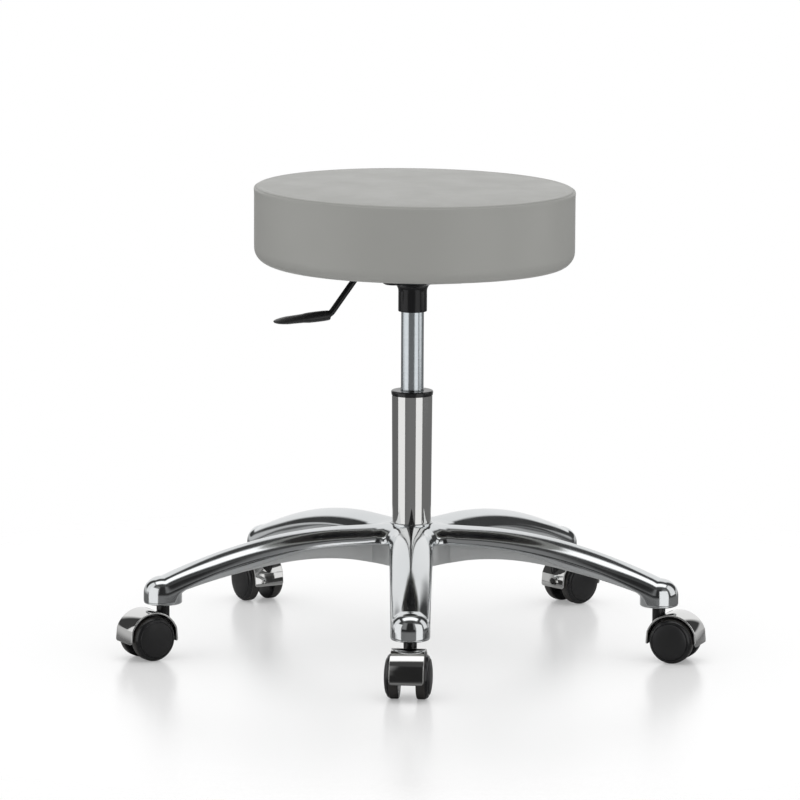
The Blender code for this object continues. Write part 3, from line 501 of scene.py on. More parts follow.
for material, names in NODE_FINISHES.items():
    for name in names:
        coat_with(frame["nodes"][name].data, material)
print("dressed", sum(len(names) for names in NODE_FINISHES.values()), "nodes of the frame")


# %% A finished piece stands for a node of the frame
def stand_in(piece, body, slot, *nodes):
    """Lets a piece ride on a body and hides the nodes that it stands for; its slot is not used."""
    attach(piece, body)
    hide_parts(*nodes)


def dress(piece, material, body, slot, *nodes):
    """Gives a piece its finish and lets it stand for its nodes."""
    coat_with(piece.data, material)
    stand_in(piece, body, slot, *nodes)


# %% [markdown]
# ## The camera and the studio
# The picture was taken from far off with a long lens, a little above the seat. Polished metal shows the whole
# room round it: a white backdrop behind, a soft box overhead, white cards in front and at the sides, and
# darkness between them. A room of lamps and walls could be built, but its light would change the matt
# pieces with every card that moves. So what is far off is drawn on the world: white to the camera, bands to
# reflections, an even grey to matt surfaces. The cards stand close, so they are planes that only
# reflections see.

# %% Camera
CAMERA_ASIDE, CAMERA_BACK, CAMERA_HEIGHT = 0.0197, 7.35, 1.474
CAMERA_PITCH = math.radians(90.0 - 9.05)
CAMERA_YAW = math.radians(0.27)
CAMERA_ROLL = math.radians(0.27)
LENS, SENSOR = 272.34, 36.0
FAR_END = 100.0
camera_data = bpy.data.cameras.new("studio_camera")
camera_data.lens = LENS
camera_data.sensor_width = SENSOR
camera_data.clip_end = FAR_END
camera = bpy.data.objects.new("studio_camera", camera_data)
scene.collection.objects.link(camera)
turns = Matrix.Rotation(CAMERA_YAW, 4, "Z")
turns = turns @ Matrix.Rotation(CAMERA_PITCH, 4, "X")
turns = turns @ Matrix.Rotation(CAMERA_ROLL, 4, "Z")
camera_spot = (AXIS.x + CAMERA_ASIDE, AXIS.y - CAMERA_BACK, CAMERA_HEIGHT)
camera.matrix_world = Matrix.Translation(camera_spot) @ turns
scene.camera = camera
scene.view_settings.view_transform = "Standard"
print("camera at", [round(value, 3) for value in camera.location])


# %% Ramps, steps and blends of grey
def band(tree, turn, stops):
    """Adds a ramp of grey levels by azimuth in degrees; the turn goes from 0 to 1 round the room."""
    ramp = node(tree, "ShaderNodeValToRGB")
    while len(ramp.color_ramp.elements) < len(stops):
        ramp.color_ramp.elements.new(0.5)
    for stop, (degrees, level) in zip(ramp.color_ramp.elements, stops):
        stop.position = degrees / 360.0 + 0.5
        stop.color = (level, level, level, 1.0)
    tree.links.new(turn, ramp.inputs["Fac"])
    return ramp.outputs["Color"]


def step_up(tree, value, low, high):
    """Adds a soft step from 0 to 1 as a value passes from low to high."""
    step = node(tree, "ShaderNodeMapRange", interpolation_type="SMOOTHSTEP", from_min=low, from_max=high)
    tree.links.new(value, step.inputs["Value"])
    return step.outputs["Result"]


def blend(tree, factor, first, second):
    """Mixes two colours; each is an output socket or a grey level."""
    mix = node(tree, "ShaderNodeMix", data_type="RGBA")
    tree.links.new(factor, mix.inputs["Factor"])
    for socket, colour in zip((mix.inputs[6], mix.inputs[7]), (first, second)):
        if isinstance(colour, float):
            socket.default_value = (colour, colour, colour, 1.0)
        else:
            tree.links.new(colour, socket)
    return mix.outputs[2]


print("helpers for the room ready")

# %% Room: bands by azimuth, below the horizon, along it and above it
LOW_BAND = (
    (-180, 1.00), (-172, 1.00), (-163, 0.15), (-60, 0.16), (-12, 0.19), (60, 0.18), (163, 0.17),
    (172, 1.00), (180, 1.00),
)
HORIZON_BAND = (
    (-180, 0.90), (-158, 0.90), (-150, 0.55), (-100, 0.55), (-90, 0.03), (0, 0.02), (118, 0.05),
    (126, 0.55), (150, 0.55), (158, 0.90), (180, 0.90),
)
HIGH_BAND = (
    (-180, 0.90), (-148, 0.90), (-140, 0.05), (-64, 0.06), (-46, 0.22), (-27, 0.22), (-19, 0.02),
    (17, 0.02), (26, 0.22), (46, 0.22), (64, 0.06), (148, 0.05), (154, 0.90), (180, 0.90),
)
HORIZON_STEP = (math.radians(-8.0), math.radians(0.0))
HIGH_STEP = (math.radians(7.0), math.radians(11.0))
room = bpy.data.worlds.new("studio_room")
scene.world = room
room.use_nodes = True
tree = room.node_tree
tree.nodes.clear()
direction = node(tree, "ShaderNodeSeparateXYZ")
tree.links.new(node(tree, "ShaderNodeTexCoord").outputs["Generated"], direction.inputs[0])
towards = math_node(tree, "MULTIPLY", direction.outputs["Y"], -1.0)
azimuth = math_node(tree, "ARCTAN2", direction.outputs["X"], towards)
elevation = math_node(tree, "ARCSINE", direction.outputs["Z"])
around = math_node(tree, "MULTIPLY_ADD", azimuth, 1.0 / (2.0 * math.pi), 0.5)
low, horizon, high = [band(tree, around, stops) for stops in (LOW_BAND, HORIZON_BAND, HIGH_BAND)]
walls = blend(tree, step_up(tree, elevation, *HORIZON_STEP), low, horizon)
walls = blend(tree, step_up(tree, elevation, *HIGH_STEP), walls, high)
print("room with", len(LOW_BAND) + len(HORIZON_BAND) + len(HIGH_BAND), "stops")

# %% Room: a dark ceiling with a soft box in it
CEILING_LEVEL = 0.06
CEILING_STEP = (math.radians(47.0), math.radians(54.0))
BOX_LEVEL = 1.4
BOX_HALF = (0.62, 0.24)
BOX_EDGE = 0.09
BOX_RISE = (0.0, 0.2)
walls = blend(tree, step_up(tree, elevation, *CEILING_STEP), walls, CEILING_LEVEL)
inside = step_up(tree, direction.outputs["Z"], *BOX_RISE)
for axis, half in zip("XY", BOX_HALF):
    slope = math_node(tree, "DIVIDE", direction.outputs[axis], direction.outputs["Z"])
    slope = math_node(tree, "ABSOLUTE", slope)
    outside = step_up(tree, slope, half - BOX_EDGE, half + BOX_EDGE)
    inside = math_node(tree, "MULTIPLY", inside, math_node(tree, "SUBTRACT", 1.0, outside))
walls = blend(tree, inside, walls, BOX_LEVEL)
print("soft box of", BOX_HALF, "per metre of height")

# %% Room: what the camera, reflections and matt surfaces see
MATT_LEVEL = 0.71
rays = node(tree, "ShaderNodeLightPath")
mirror_rays = math_node(tree, "MAXIMUM", rays.outputs["Is Glossy Ray"], rays.outputs["Is Transmission Ray"])
lighting = blend(tree, mirror_rays, MATT_LEVEL, walls)
seen = blend(tree, rays.outputs["Is Camera Ray"], lighting, 1.0)
backdrop = node(tree, "ShaderNodeBackground")
tree.links.new(seen, backdrop.inputs["Color"])
tree.links.new(backdrop.outputs["Background"], node(tree, "ShaderNodeOutputWorld").inputs["Surface"])
print("room lights matt surfaces at", MATT_LEVEL)

# %% One soft lamp overhead, for a shadow on the floor
LAMP_HEIGHT = 2.6
LAMP_SIZE = (2.4, 2.0)
LAMP_WATTS = 9.0
deselect()
bpy.ops.object.light_add(type="AREA", location=(AXIS.x, AXIS.y, LAMP_HEIGHT))
overhead = bpy.context.object
overhead.name = "overhead_softbox"
overhead.data.shape = "RECTANGLE"
overhead.data.size, overhead.data.size_y = LAMP_SIZE
overhead.data.energy = LAMP_WATTS
overhead.visible_glossy = False
print("lamp", overhead.name)

# %% Glow of a card: reflections see it, apart from those that start on the floor
FLOOR_CLEAR = 2.0 * MM


def card_glow(name, level):
    """Makes a glow for reflections alone; each is traced back along its ray to the height where it began."""
    material = bpy.data.materials.new(name)
    material.use_nodes = True
    tree = material.node_tree
    glow = node(tree, "ShaderNodeEmission", strength=level)
    clear = node(tree, "ShaderNodeBsdfTransparent")
    shown = node(tree, "ShaderNodeMixShader")
    ray = node(tree, "ShaderNodeLightPath")
    hit = node(tree, "ShaderNodeNewGeometry")
    heights = []
    for label in ("Incoming", "Position"):
        parts = node(tree, "ShaderNodeSeparateXYZ")
        tree.links.new(hit.outputs[label], parts.inputs[0])
        heights.append(parts.outputs["Z"])
    start = math_node(tree, "MULTIPLY_ADD", heights[0], ray.outputs["Ray Length"], heights[1])
    off_floor = math_node(tree, "GREATER_THAN", start, FLOOR_CLEAR)
    tree.links.new(math_node(tree, "MULTIPLY", ray.outputs["Is Glossy Ray"], off_floor), shown.inputs["Fac"])
    tree.links.new(clear.outputs["BSDF"], shown.inputs[1])
    tree.links.new(glow.outputs["Emission"], shown.inputs[2])
    tree.links.new(shown.outputs["Shader"], tree.nodes["Material Output"].inputs["Surface"])
    return material


print("cards glow to reflections from above", FLOOR_CLEAR)

# %% Cards round the stool: two ends in plan, low and high edge, level
CARDS = {
    "left_card": ((-0.66, -0.79), (-1.20, -0.10), -0.35, 0.60, 1.0),
    "right_card": ((0.32, -0.79), (1.00, -0.554), -0.35, 0.60, 1.0),
    "left_box": ((-1.20, -0.40), (-1.20, 0.32), 0.13, 1.30, 0.9),
    "right_box": ((1.20, -0.40), (1.20, 0.32), 0.13, 1.30, 0.9),
}
for name, (near, far, low, high, level) in CARDS.items():
    near, far = Vector(near), Vector(far)
    middle = (near + far) / 2.0 + AXIS.xy
    card = begin(name, bpy.ops.mesh.primitive_plane_add, size=1.0)
    bpy.ops.transform.resize(value=((far - near).length, high - low, 1.0))
    deselect()
    card.rotation_euler = (math.radians(90.0), 0.0, math.atan2(far.y - near.y, far.x - near.x))
    card.location = (middle.x, middle.y, (low + high) / 2.0)
    settle(card)
    coat_with(card.data, card_glow(name, level))
    card.visible_camera = card.visible_diffuse = card.visible_shadow = False
print("cards", list(CARDS))

# %% Floor: a disc that fades into the white of the room
FLOOR_RADIUS = 1.0
FLOOR_SIDES = 96
FLOOR_LIFT = 0.25
FLOOR_LEVEL = 0.90
FLOOR_ROUGHNESS, FLOOR_SPECULAR = 0.22, 0.35
MIRRORED_LEVELS = (0.58, 0.10)
MIRRORED_REACH = (0.32, 0.55)
FADE = (0.72, 0.98)
MIRRORED_FADE = (0.52, 0.64)
MIRRORED_BACK = 0.12
FLOOR_MIDDLE = (0.0, 0.0, 0.0)
MIRRORED_MIDDLE = (AXIS.x, AXIS.y + MIRRORED_BACK, 0.0)
floor = begin(
    "studio_floor", bpy.ops.mesh.primitive_circle_add, vertices=FLOOR_SIDES, radius=FLOOR_RADIUS,
    fill_type="NGON",
)
settle(floor)

# %% Pale gloss of the floor: reflections see a smaller and darker disc than the camera does
floor_finish = bpy.data.materials.new("pale_floor")
floor_finish.use_nodes = True
tree = floor_finish.node_tree
shader = tree.nodes["Principled BSDF"]
rays = node(tree, "ShaderNodeLightPath")
set_inputs(shader, {"Roughness": FLOOR_ROUGHNESS, "Specular IOR Level": FLOOR_SPECULAR})
place = node(tree, "ShaderNodeTexCoord").outputs["Object"]
fades = []
for middle, (start, end) in ((FLOOR_MIDDLE, FADE), (MIRRORED_MIDDLE, MIRRORED_FADE)):
    reach = node(tree, "ShaderNodeVectorMath", operation="DISTANCE")
    tree.links.new(place, reach.inputs[0])
    reach.inputs[1].default_value = middle
    fades.append(math_node(tree, "SUBTRACT", 1.0, step_up(tree, reach.outputs["Value"], start, end)))
tree.links.new(blend(tree, rays.outputs["Is Glossy Ray"], *fades), shader.inputs["Alpha"])
mirrored = blend(tree, step_up(tree, reach.outputs["Value"], *MIRRORED_REACH), *MIRRORED_LEVELS)
colour = blend(tree, rays.outputs["Is Glossy Ray"], FLOOR_LEVEL, mirrored)
tree.links.new(colour, shader.inputs["Base Color"])
set_inputs(shader, {"Emission Color": (1.0, 1.0, 1.0, 1.0)})
lift = math_node(tree, "MULTIPLY", rays.outputs["Is Camera Ray"], FLOOR_LIFT)
tree.links.new(lift, shader.inputs["Emission Strength"])
coat_with(floor.data, floor_finish)
print("floor of radius", FLOOR_RADIUS)

# %% [markdown]
# ## The star base
# On the real stool this is one casting with five arms: a crowned cap with rolled shoulders, a thinner web
# under it, a hollow below and a round socket at each tip. Boxes cut and bevelled would leave flat spots
# that a polished surface shows at once. So a grid is laid over half an arm, row by row: out from the ridge,
# over the shoulder, down the side, in under the cap, down the web and up into the hollow. Mirrored and
# copied round the hub, the rows meet their neighbours exactly.

# %% Sizes of the casting
STAR_LOW, STAR_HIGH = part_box("star_base")
TIP_LOW = STAR_LOW.z
HUB_TOP = STAR_HIGH.z
HUB_LIP = 1.2 * MM
ROOT_TOP = HUB_TOP - HUB_LIP
ARM_REACH, ROOT_REACH = 318.0 * MM, 30.0 * MM
ARM_RISE = 50.4 * MM
FALL_START = 85.0 * MM
WEB_RISE = 46.6 * MM
TIP_DEPTH, ROOT_DROP = 22.0 * MM, 27.5 * MM
ROOT_HALF, TIP_HALF = 28.0 * MM, 23.7 * MM
BORE_RADIUS = 25.2 * MM
ARM_STEP = 72.0
HALF_SECTOR = math.radians(ARM_STEP / 2.0)
print("arms reach", ARM_REACH, "and fall from", round(ROOT_TOP, 4))


def ridge(reach):
    """Height of the top of the casting: level round the hub, then falling to the tip."""
    fall = (min(reach, ARM_REACH) - FALL_START) / (ARM_REACH - FALL_START)
    return ROOT_TOP - ARM_RISE * max(0.0, fall) ** 2


def arm_share(reach):
    """How far along its arm a point is, from 0 at the root."""
    return (reach - ROOT_REACH) / (ARM_REACH - ROOT_REACH)


def underside(reach):
    """Height of the bottom of the web: low at the hub, highest at mid arm, then falling to the tip."""
    share = min(1.0, arm_share(reach))
    line = ROOT_TOP - ARM_RISE - TIP_DEPTH + WEB_RISE * (1.0 - share ** 2)
    return line - ROOT_DROP * (1.0 - share) ** 4


def half_width(reach):
    """Half the width of an arm."""
    return ROOT_HALF + (TIP_HALF - ROOT_HALF) * (reach - ROOT_REACH) / (ARM_REACH - ROOT_REACH)


# %% Outline of half an arm, with the spine point that each row starts from
CORNER_STEPS, EDGE_STEPS, NOSE_STEPS = 10, 64, 16
CORNER_RADIUS, CORNER_REACH = 14.0 * MM, 58.0 * MM
CATCH_UP = (80.0 * MM, 120.0 * MM)
corner_half = half_width(CORNER_REACH) + CORNER_RADIUS
corner_x = corner_half / math.tan(HALF_SECTOR)
outline = []
for x, y in arc((corner_x, corner_half), CORNER_RADIUS, 180.0 + ARM_STEP / 2.0, 270.0, CORNER_STEPS):
    outward = (Vector((corner_x, corner_half)) - Vector((x, y))).normalized()
    outline.append((Vector((x, y)), outward))
for step in range(1, EDGE_STEPS + 1):
    x = corner_x + (ARM_REACH - corner_x) * step / EDGE_STEPS
    outline.append((Vector((x, half_width(x))), Vector((0.0, 1.0))))
for x, y in arc((ARM_REACH, 0.0), TIP_HALF, 90.0, 0.0, NOSE_STEPS)[1:]:
    outline.append((Vector((x, max(0.0, y))), Vector((x - ARM_REACH, max(0.0, y))).normalized()))
turning = [point for point, outward in outline if point.x <= CATCH_UP[0]]
spine = []
for index, (point, outward) in enumerate(outline):
    if index < len(turning):
        angle = HALF_SECTOR * (1.0 - index / (len(turning) - 1))
        spine.append(BORE_RADIUS * Vector((math.cos(angle), math.sin(angle))))
    else:
        lag = (turning[-1].x - BORE_RADIUS) * (1.0 - eased((point.x - turning[-1].x) / CATCH_UP[1]))
        spine.append(Vector((min(point.x - lag, ARM_REACH), 0.0)))
print("outline of", len(outline), "points,", len(turning), "of them round the hub")

# %% Sizes of one row of the casting, from its ridge round to its hollow
ARCH_HEIGHT, NOSE_HEIGHT = 19.0 * MM, 22.5 * MM
ARCH_STEPS = 22
NOSE_START, NOSE_FULLNESS = 250.0 * MM, 1.12
ROOF_SLOPE, ROOF_ROUND = 0.15, 2.0 * MM
ROOF_END = 70.0 * MM
SIDE_ROWS = (0.12, 0.25, 0.4, 0.55, 0.7, 0.85, 1.0)
SIDE_UNDERCUT, SIDE_LEAST = 1.6 * MM, 0.6 * MM
EDGE_ROUND, EDGE_ROWS = 1.4 * MM, 4
CAP_DEPTH, CAP_EDGE = 20.0 * MM, 3.0 * MM
WEB_HALF, WEB_LEAST = 16.0 * MM, 0.2 * MM
WEB_FADE = (0.35, 0.75)
WEB_ROWS = (0.0, 0.33, 0.66, 0.93)
HOLLOW_HALF, HOLLOW_ROOF = 10.0 * MM, 8.0 * MM
HOLLOW_REACH, HOLLOW_EASE = (60.0 * MM, 282.0 * MM), 8.0 * MM
HOLLOW_ROWS = ((0.12, 0.9), (0.25, 1.0))
SOCKET_ARCH = (294.0 * MM, 15.5 * MM)
print("row of", ARCH_STEPS + len(SIDE_ROWS) + len(WEB_ROWS), "steps and its edges")


# %% One row, as points in the arm's own frame
def casting_row(point, outward, start):
    """Points of one row, the arm lying along +X."""
    reach = point.length
    top = ridge(reach)
    share = min(1.0, arm_share(reach))
    width = (point - start).dot(outward)
    nose = eased((point.x - NOSE_START) / (ARM_REACH - NOSE_START))
    arch_height = ARCH_HEIGHT + (NOSE_HEIGHT - ARCH_HEIGHT) * nose
    fullness = 1.0 + (NOSE_FULLNESS - 1.0) * nose
    undercut = SIDE_UNDERCUT * (1.0 - nose)
    slope = ROOF_SLOPE * eased((ARM_REACH - point.x) / ROOF_END)
    roof_drop = slope * (math.hypot(point.y, ROOF_ROUND) - ROOF_ROUND)
    row = []
    for step in range(ARCH_STEPS + 1):
        angle = math.pi / 2.0 * step / ARCH_STEPS
        spot = start.lerp(point, math.sin(angle) ** (1.0 / fullness))
        drop = (arch_height - roof_drop) * (1.0 - math.cos(angle) ** (1.0 / fullness))
        drop += slope * (math.hypot(spot.y, ROOF_ROUND) - ROOF_ROUND)
        row.append((*spot, ridge(spot.length) - drop))
    edge = top - arch_height
    fade = eased((share - WEB_FADE[0]) / (WEB_FADE[1] - WEB_FADE[0]))
    web_inset = (width - WEB_HALF) + (CAP_EDGE - (width - WEB_HALF)) * fade
    web_inset = max(web_inset, 2.0 * EDGE_ROUND + undercut)
    web = point - outward * web_inset
    web_low = underside(web.length)
    low = min(top - CAP_DEPTH - (top - web_low - CAP_EDGE - CAP_DEPTH) * fade, edge - SIDE_LEAST)
    arch = min(1.0, max(0.0, (point.x - SOCKET_ARCH[0]) / SOCKET_ARCH[1]))
    arch = 1.0 - math.sqrt(1.0 - arch ** 2)
    low += (TIP_LOW + 2.0 * EDGE_ROUND - low) * arch
    web_low += (TIP_LOW - web_low) * arch
    for part in SIDE_ROWS:
        row.append((*(point - outward * undercut * part ** 2), edge + (low - edge) * part))
    for x, z in arc((-EDGE_ROUND, 0.0), EDGE_ROUND, 0.0, -90.0, EDGE_ROWS)[1:]:
        row.append((*(point + outward * (x - undercut)), low + z))
    web_top = max(low - EDGE_ROUND * 1.2, web_low + WEB_LEAST)
    row.append((*(web + outward * EDGE_ROUND), low - EDGE_ROUND))
    for part in WEB_ROWS:
        row.append((*web, web_top + (web_low - web_top) * part))
    row.append((*(web - outward * EDGE_ROUND * 0.7), web_low))
    hollow = start.lerp(web, min(0.9, HOLLOW_HALF / (web - start).dot(outward)))
    cut = eased((point.x - HOLLOW_REACH[0]) / HOLLOW_EASE) * eased((HOLLOW_REACH[1] - point.x) / HOLLOW_EASE)
    roof = web_low + (top - HOLLOW_ROOF - web_low) * cut
    row.append((*hollow, web_low))
    for inward, part in HOLLOW_ROWS:
        row.append((*hollow.lerp(start, inward), web_low + (roof - web_low) * part))
    row.append((*start, roof))
    return row


rows = [casting_row(point, outward, start) for (point, outward), start in zip(outline, spine)]
print("rows of", len(rows[0]), "points")

# %% Lay the grid over half an arm: polished cap, satin web and hollow
CAP_ROWS = ARCH_STEPS + 1 + len(SIDE_ROWS) + EDGE_ROWS - 1
columns = len(rows[0])
star = begin(
    "cast_star", bpy.ops.mesh.primitive_grid_add, x_subdivisions=columns - 1,
    y_subdivisions=len(rows) - 1, size=2.0,
)
bpy.ops.object.mode_set(mode="OBJECT")
for vertex, spot in zip(star.data.vertices, [spot for row in rows for spot in row]):
    vertex.co = spot
coat_with(star.data, polished, satin)
for face in star.data.polygons:
    face.material_index = 0 if face.index % (columns - 1) < CAP_ROWS else 1
print("half an arm of", len(star.data.polygons), "faces")

# %% Mirror the half, copy it round the hub and close the bore
ACROSS = (False, True, False)
MIRROR_MERGE, ARM_MERGE = 0.01 * MM, 0.02 * MM
apply_modifier(star, "MIRROR", use_axis=ACROSS, use_mirror_merge=True, merge_threshold=MIRROR_MERGE)
arms = [copy_to(star, "cast_arm", (0.0, 0.0, 0.0), math.radians(ARM_STEP * number)) for number in range(1, 5)]
join(star, *arms)
bpy.ops.object.mode_set(mode="EDIT")
bpy.ops.mesh.select_all(action="SELECT")
bpy.ops.mesh.remove_doubles(threshold=ARM_MERGE)
bpy.ops.mesh.select_all(action="DESELECT")
bpy.ops.mesh.select_mode(type="EDGE")
bpy.ops.mesh.select_non_manifold()
bpy.ops.mesh.bridge_edge_loops()
face_out()
bpy.ops.object.mode_set(mode="OBJECT")
stand_on_axis(star, math.radians(-90.0), 50.0)

# %% Collar round the column
COLUMN_HUB_RADIUS, COLLAR_RADIUS = 24.1 * MM, 26.6 * MM
HUB_LOW, HUB_RADIUS = HUB_TOP - 55.0 * MM, 33.0 * MM
SLEEVE_RADIUS, SLEEVE_EDGE = 27.5 * MM, 1.0 * MM
COLLAR_ROUND, COLLAR_FILLET = 1.2 * MM, 3.0 * MM
FILLET_DROP = 3.6 * MM
BORE_EDGE = (0.5 * MM, 0.6 * MM)
HUB_DROPS = (4.0 * MM, 8.0 * MM, 14.0 * MM)
collar_profile = [(COLUMN_HUB_RADIUS, HUB_LOW), (COLUMN_HUB_RADIUS, HUB_TOP - BORE_EDGE[1])]
collar_profile += [(COLUMN_HUB_RADIUS + BORE_EDGE[0], HUB_TOP)]
collar_profile += arc((COLLAR_RADIUS - COLLAR_ROUND, HUB_TOP - COLLAR_ROUND), COLLAR_ROUND, 90.0, 0.0, 5)
collar_profile += arc((COLLAR_RADIUS + COLLAR_FILLET, HUB_TOP - FILLET_DROP), COLLAR_FILLET, 180.0, 250.0, 6)
collar_profile += [(HUB_RADIUS, ROOT_TOP - HUB_DROPS[0]), (HUB_RADIUS, ROOT_TOP - HUB_DROPS[1])]
collar_profile += [(SLEEVE_RADIUS, ROOT_TOP - HUB_DROPS[2]), (SLEEVE_RADIUS, HUB_LOW + SLEEVE_EDGE)]
collar_profile += [(SLEEVE_RADIUS - SLEEVE_EDGE, HUB_LOW), (COLUMN_HUB_RADIUS, HUB_LOW)]
collar = settle(turned("cast_collar", collar_profile, AXIS), 40.0)
coat_with(collar.data, polished)

# %% Sockets under the tips
SOCKET_RADIUS, SOCKET_EDGE = 23.2 * MM, 1.0 * MM
SOCKET_BORE = 6.0 * MM
SOCKET_HEIGHT, SOCKET_TOP = 16.0 * MM, 20.0 * MM
socket_profile = [(SOCKET_BORE, TIP_LOW), (SOCKET_RADIUS - SOCKET_EDGE, TIP_LOW)]
socket_profile += [(SOCKET_RADIUS, TIP_LOW + SOCKET_EDGE), (SOCKET_RADIUS, TIP_LOW + SOCKET_HEIGHT)]
socket_profile += [(SOCKET_BORE, TIP_LOW + SOCKET_TOP)]
sockets = []
for side in SIDES:
    stem = JOINTS["caster_swivel_" + side]["pos_m"]
    sockets.append(settle(turned("tip_socket", socket_profile, stem, sides=64), 40.0))
    coat_with(sockets[-1].data, polished)
join(star, collar, *sockets)
stand_in(star, "base", "polished_aluminium", "star_base")
print("star of", len(star.data.polygons), "faces")

# %% [markdown]
# ## The column and the gas spring
# The thick tube is chromed and tapers a little towards its foot; a black bush closes its top. The slim
# tube that slides in it is ground steel, and a black socket with a flared top takes its head. All of them
# are lathe work, so a ring is extruded along the profile of each. A spun outline would do as well, but
# stacked rings keep the mesh even along the height.

# %% Thick tube
TUBE_LOW, TUBE_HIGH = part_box("outer_column")
TUBE_RADIUS = (TUBE_HIGH.x - TUBE_LOW.x) / 2.0
TUBE_FOOT_RADIUS = 23.5 * MM
TUBE_WALL, TUBE_EDGE = 1.6 * MM, 0.5 * MM
TUBE_BORE, TUBE_BASE = 4.3 * MM, 4.0 * MM
tube_profile = [(TUBE_BORE, TUBE_LOW.z), (TUBE_FOOT_RADIUS, TUBE_LOW.z)]
for part in (0.25, 0.5, 0.75, 1.0):
    radius = TUBE_FOOT_RADIUS + (TUBE_RADIUS - TUBE_FOOT_RADIUS) * part
    tube_profile.append((radius, TUBE_LOW.z + (TUBE_HIGH.z - TUBE_EDGE - TUBE_LOW.z) * part))
tube_profile += [(TUBE_RADIUS - TUBE_EDGE, TUBE_HIGH.z), (TUBE_RADIUS - TUBE_WALL, TUBE_HIGH.z)]
tube_profile += [(TUBE_FOOT_RADIUS - TUBE_WALL, TUBE_LOW.z + TUBE_BASE), (TUBE_BORE, TUBE_LOW.z + TUBE_BASE)]
tube_profile += [(TUBE_BORE, TUBE_LOW.z)]
tube = settle(turned("thick_tube", tube_profile, AXIS, sides=128))
dress(tube, chrome, "base", "chrome", "outer_column")

# %% Bush in its top
BUSH_LOW, BUSH_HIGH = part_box("guide_bush")
BUSH_RADIUS = (BUSH_HIGH.x - BUSH_LOW.x) / 2.0
BUSH_BORE, BUSH_STEM = 14.3 * MM, 22.0 * MM
BUSH_ROUND, BORE_ROUND = 1.6 * MM, 1.0 * MM
FLANGE_GAP, FLANGE_EDGE = 0.3 * MM, 0.4 * MM
flange = TUBE_HIGH.z + FLANGE_GAP
bush_profile = [(BUSH_BORE, BUSH_LOW.z), (BUSH_STEM, BUSH_LOW.z)]
bush_profile += [(BUSH_STEM, flange), (BUSH_RADIUS - FLANGE_EDGE, flange)]
bush_profile += arc((BUSH_RADIUS - BUSH_ROUND, BUSH_HIGH.z - BUSH_ROUND), BUSH_ROUND, 0.0, 90.0, 6)
bush_profile += arc((BUSH_BORE + BORE_ROUND, BUSH_HIGH.z - BORE_ROUND), BORE_ROUND, 90.0, 180.0, 4)
bush_profile += [(BUSH_BORE, BUSH_LOW.z)]
bush = settle(turned("column_bush", bush_profile, AXIS))
dress(bush, nylon, "base", "black_plastic", "guide_bush")

# %% Slim tube
SLIM_LOW, SLIM_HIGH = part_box("gas_cylinder")
SLIM_RADIUS, SLIM_WALL = 14.0 * MM, 1.5 * MM
SLIM_FOOT_EDGE, SLIM_HEAD_EDGE = 0.4 * MM, 1.0 * MM
SLIM_MOUTH, SLIM_HEAD = 3.8 * MM, 16.0 * MM
slim_bore = SLIM_RADIUS - SLIM_WALL
slim_profile = [(slim_bore, SLIM_LOW.z), (SLIM_RADIUS - SLIM_FOOT_EDGE, SLIM_LOW.z)]
slim_profile += [(SLIM_RADIUS, SLIM_LOW.z + SLIM_FOOT_EDGE), (SLIM_RADIUS, SLIM_HIGH.z - SLIM_HEAD_EDGE)]
slim_profile += [(SLIM_RADIUS - SLIM_HEAD_EDGE, SLIM_HIGH.z), (SLIM_MOUTH, SLIM_HIGH.z)]
slim_profile += [(SLIM_MOUTH, SLIM_HIGH.z - SLIM_HEAD), (slim_bore, SLIM_HIGH.z - SLIM_HEAD)]
slim_profile += [(slim_bore, SLIM_LOW.z)]
slim = settle(turned("slim_tube", slim_profile, AXIS))
dress(slim, ground, "seat", "bare_steel", "gas_cylinder")

# %% Socket under the seat
CUP_LOW, CUP_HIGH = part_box("seat_holder")
CUP_RADIUS, CUP_BORE = 17.7 * MM, 14.15 * MM
CUP_FLARE = (CUP_HIGH.x - CUP_LOW.x) / 2.0
CUP_ROUND, CUP_EDGE = 1.0 * MM, 1.0 * MM
FLARE_ROUND, FLARE_DROP = 10.5 * MM, 12.5 * MM
cup_profile = [(CUP_BORE, CUP_LOW.z), (CUP_RADIUS - CUP_ROUND, CUP_LOW.z)]
cup_profile += arc((CUP_RADIUS - CUP_ROUND, CUP_LOW.z + CUP_ROUND), CUP_ROUND, -60.0, 0.0, 4)
cup_profile += arc((CUP_RADIUS + FLARE_ROUND, CUP_HIGH.z - FLARE_DROP), FLARE_ROUND, 180.0, 104.0, 8)
cup_profile += [(CUP_FLARE, CUP_HIGH.z - CUP_EDGE), (CUP_FLARE, CUP_HIGH.z)]
cup_profile += [(CUP_BORE, CUP_HIGH.z), (CUP_BORE, CUP_LOW.z)]
cup = settle(turned("spring_socket", cup_profile, AXIS))
dress(cup, gloss_black, "seat", "black_steel", "seat_holder")

# %% [markdown]
# ## The casters
# Five casters carry the base, each with a chromed hood over two black wheels. One caster is modelled at the
# origin, trailing along +X, and copied to every stem at the heading that the frame gives. The hood could be
# cut from a tube, but its sides are flat, so it is a strip bent over the wheels: a flat skirt, a crease, a
# round top, a crease and a skirt again.

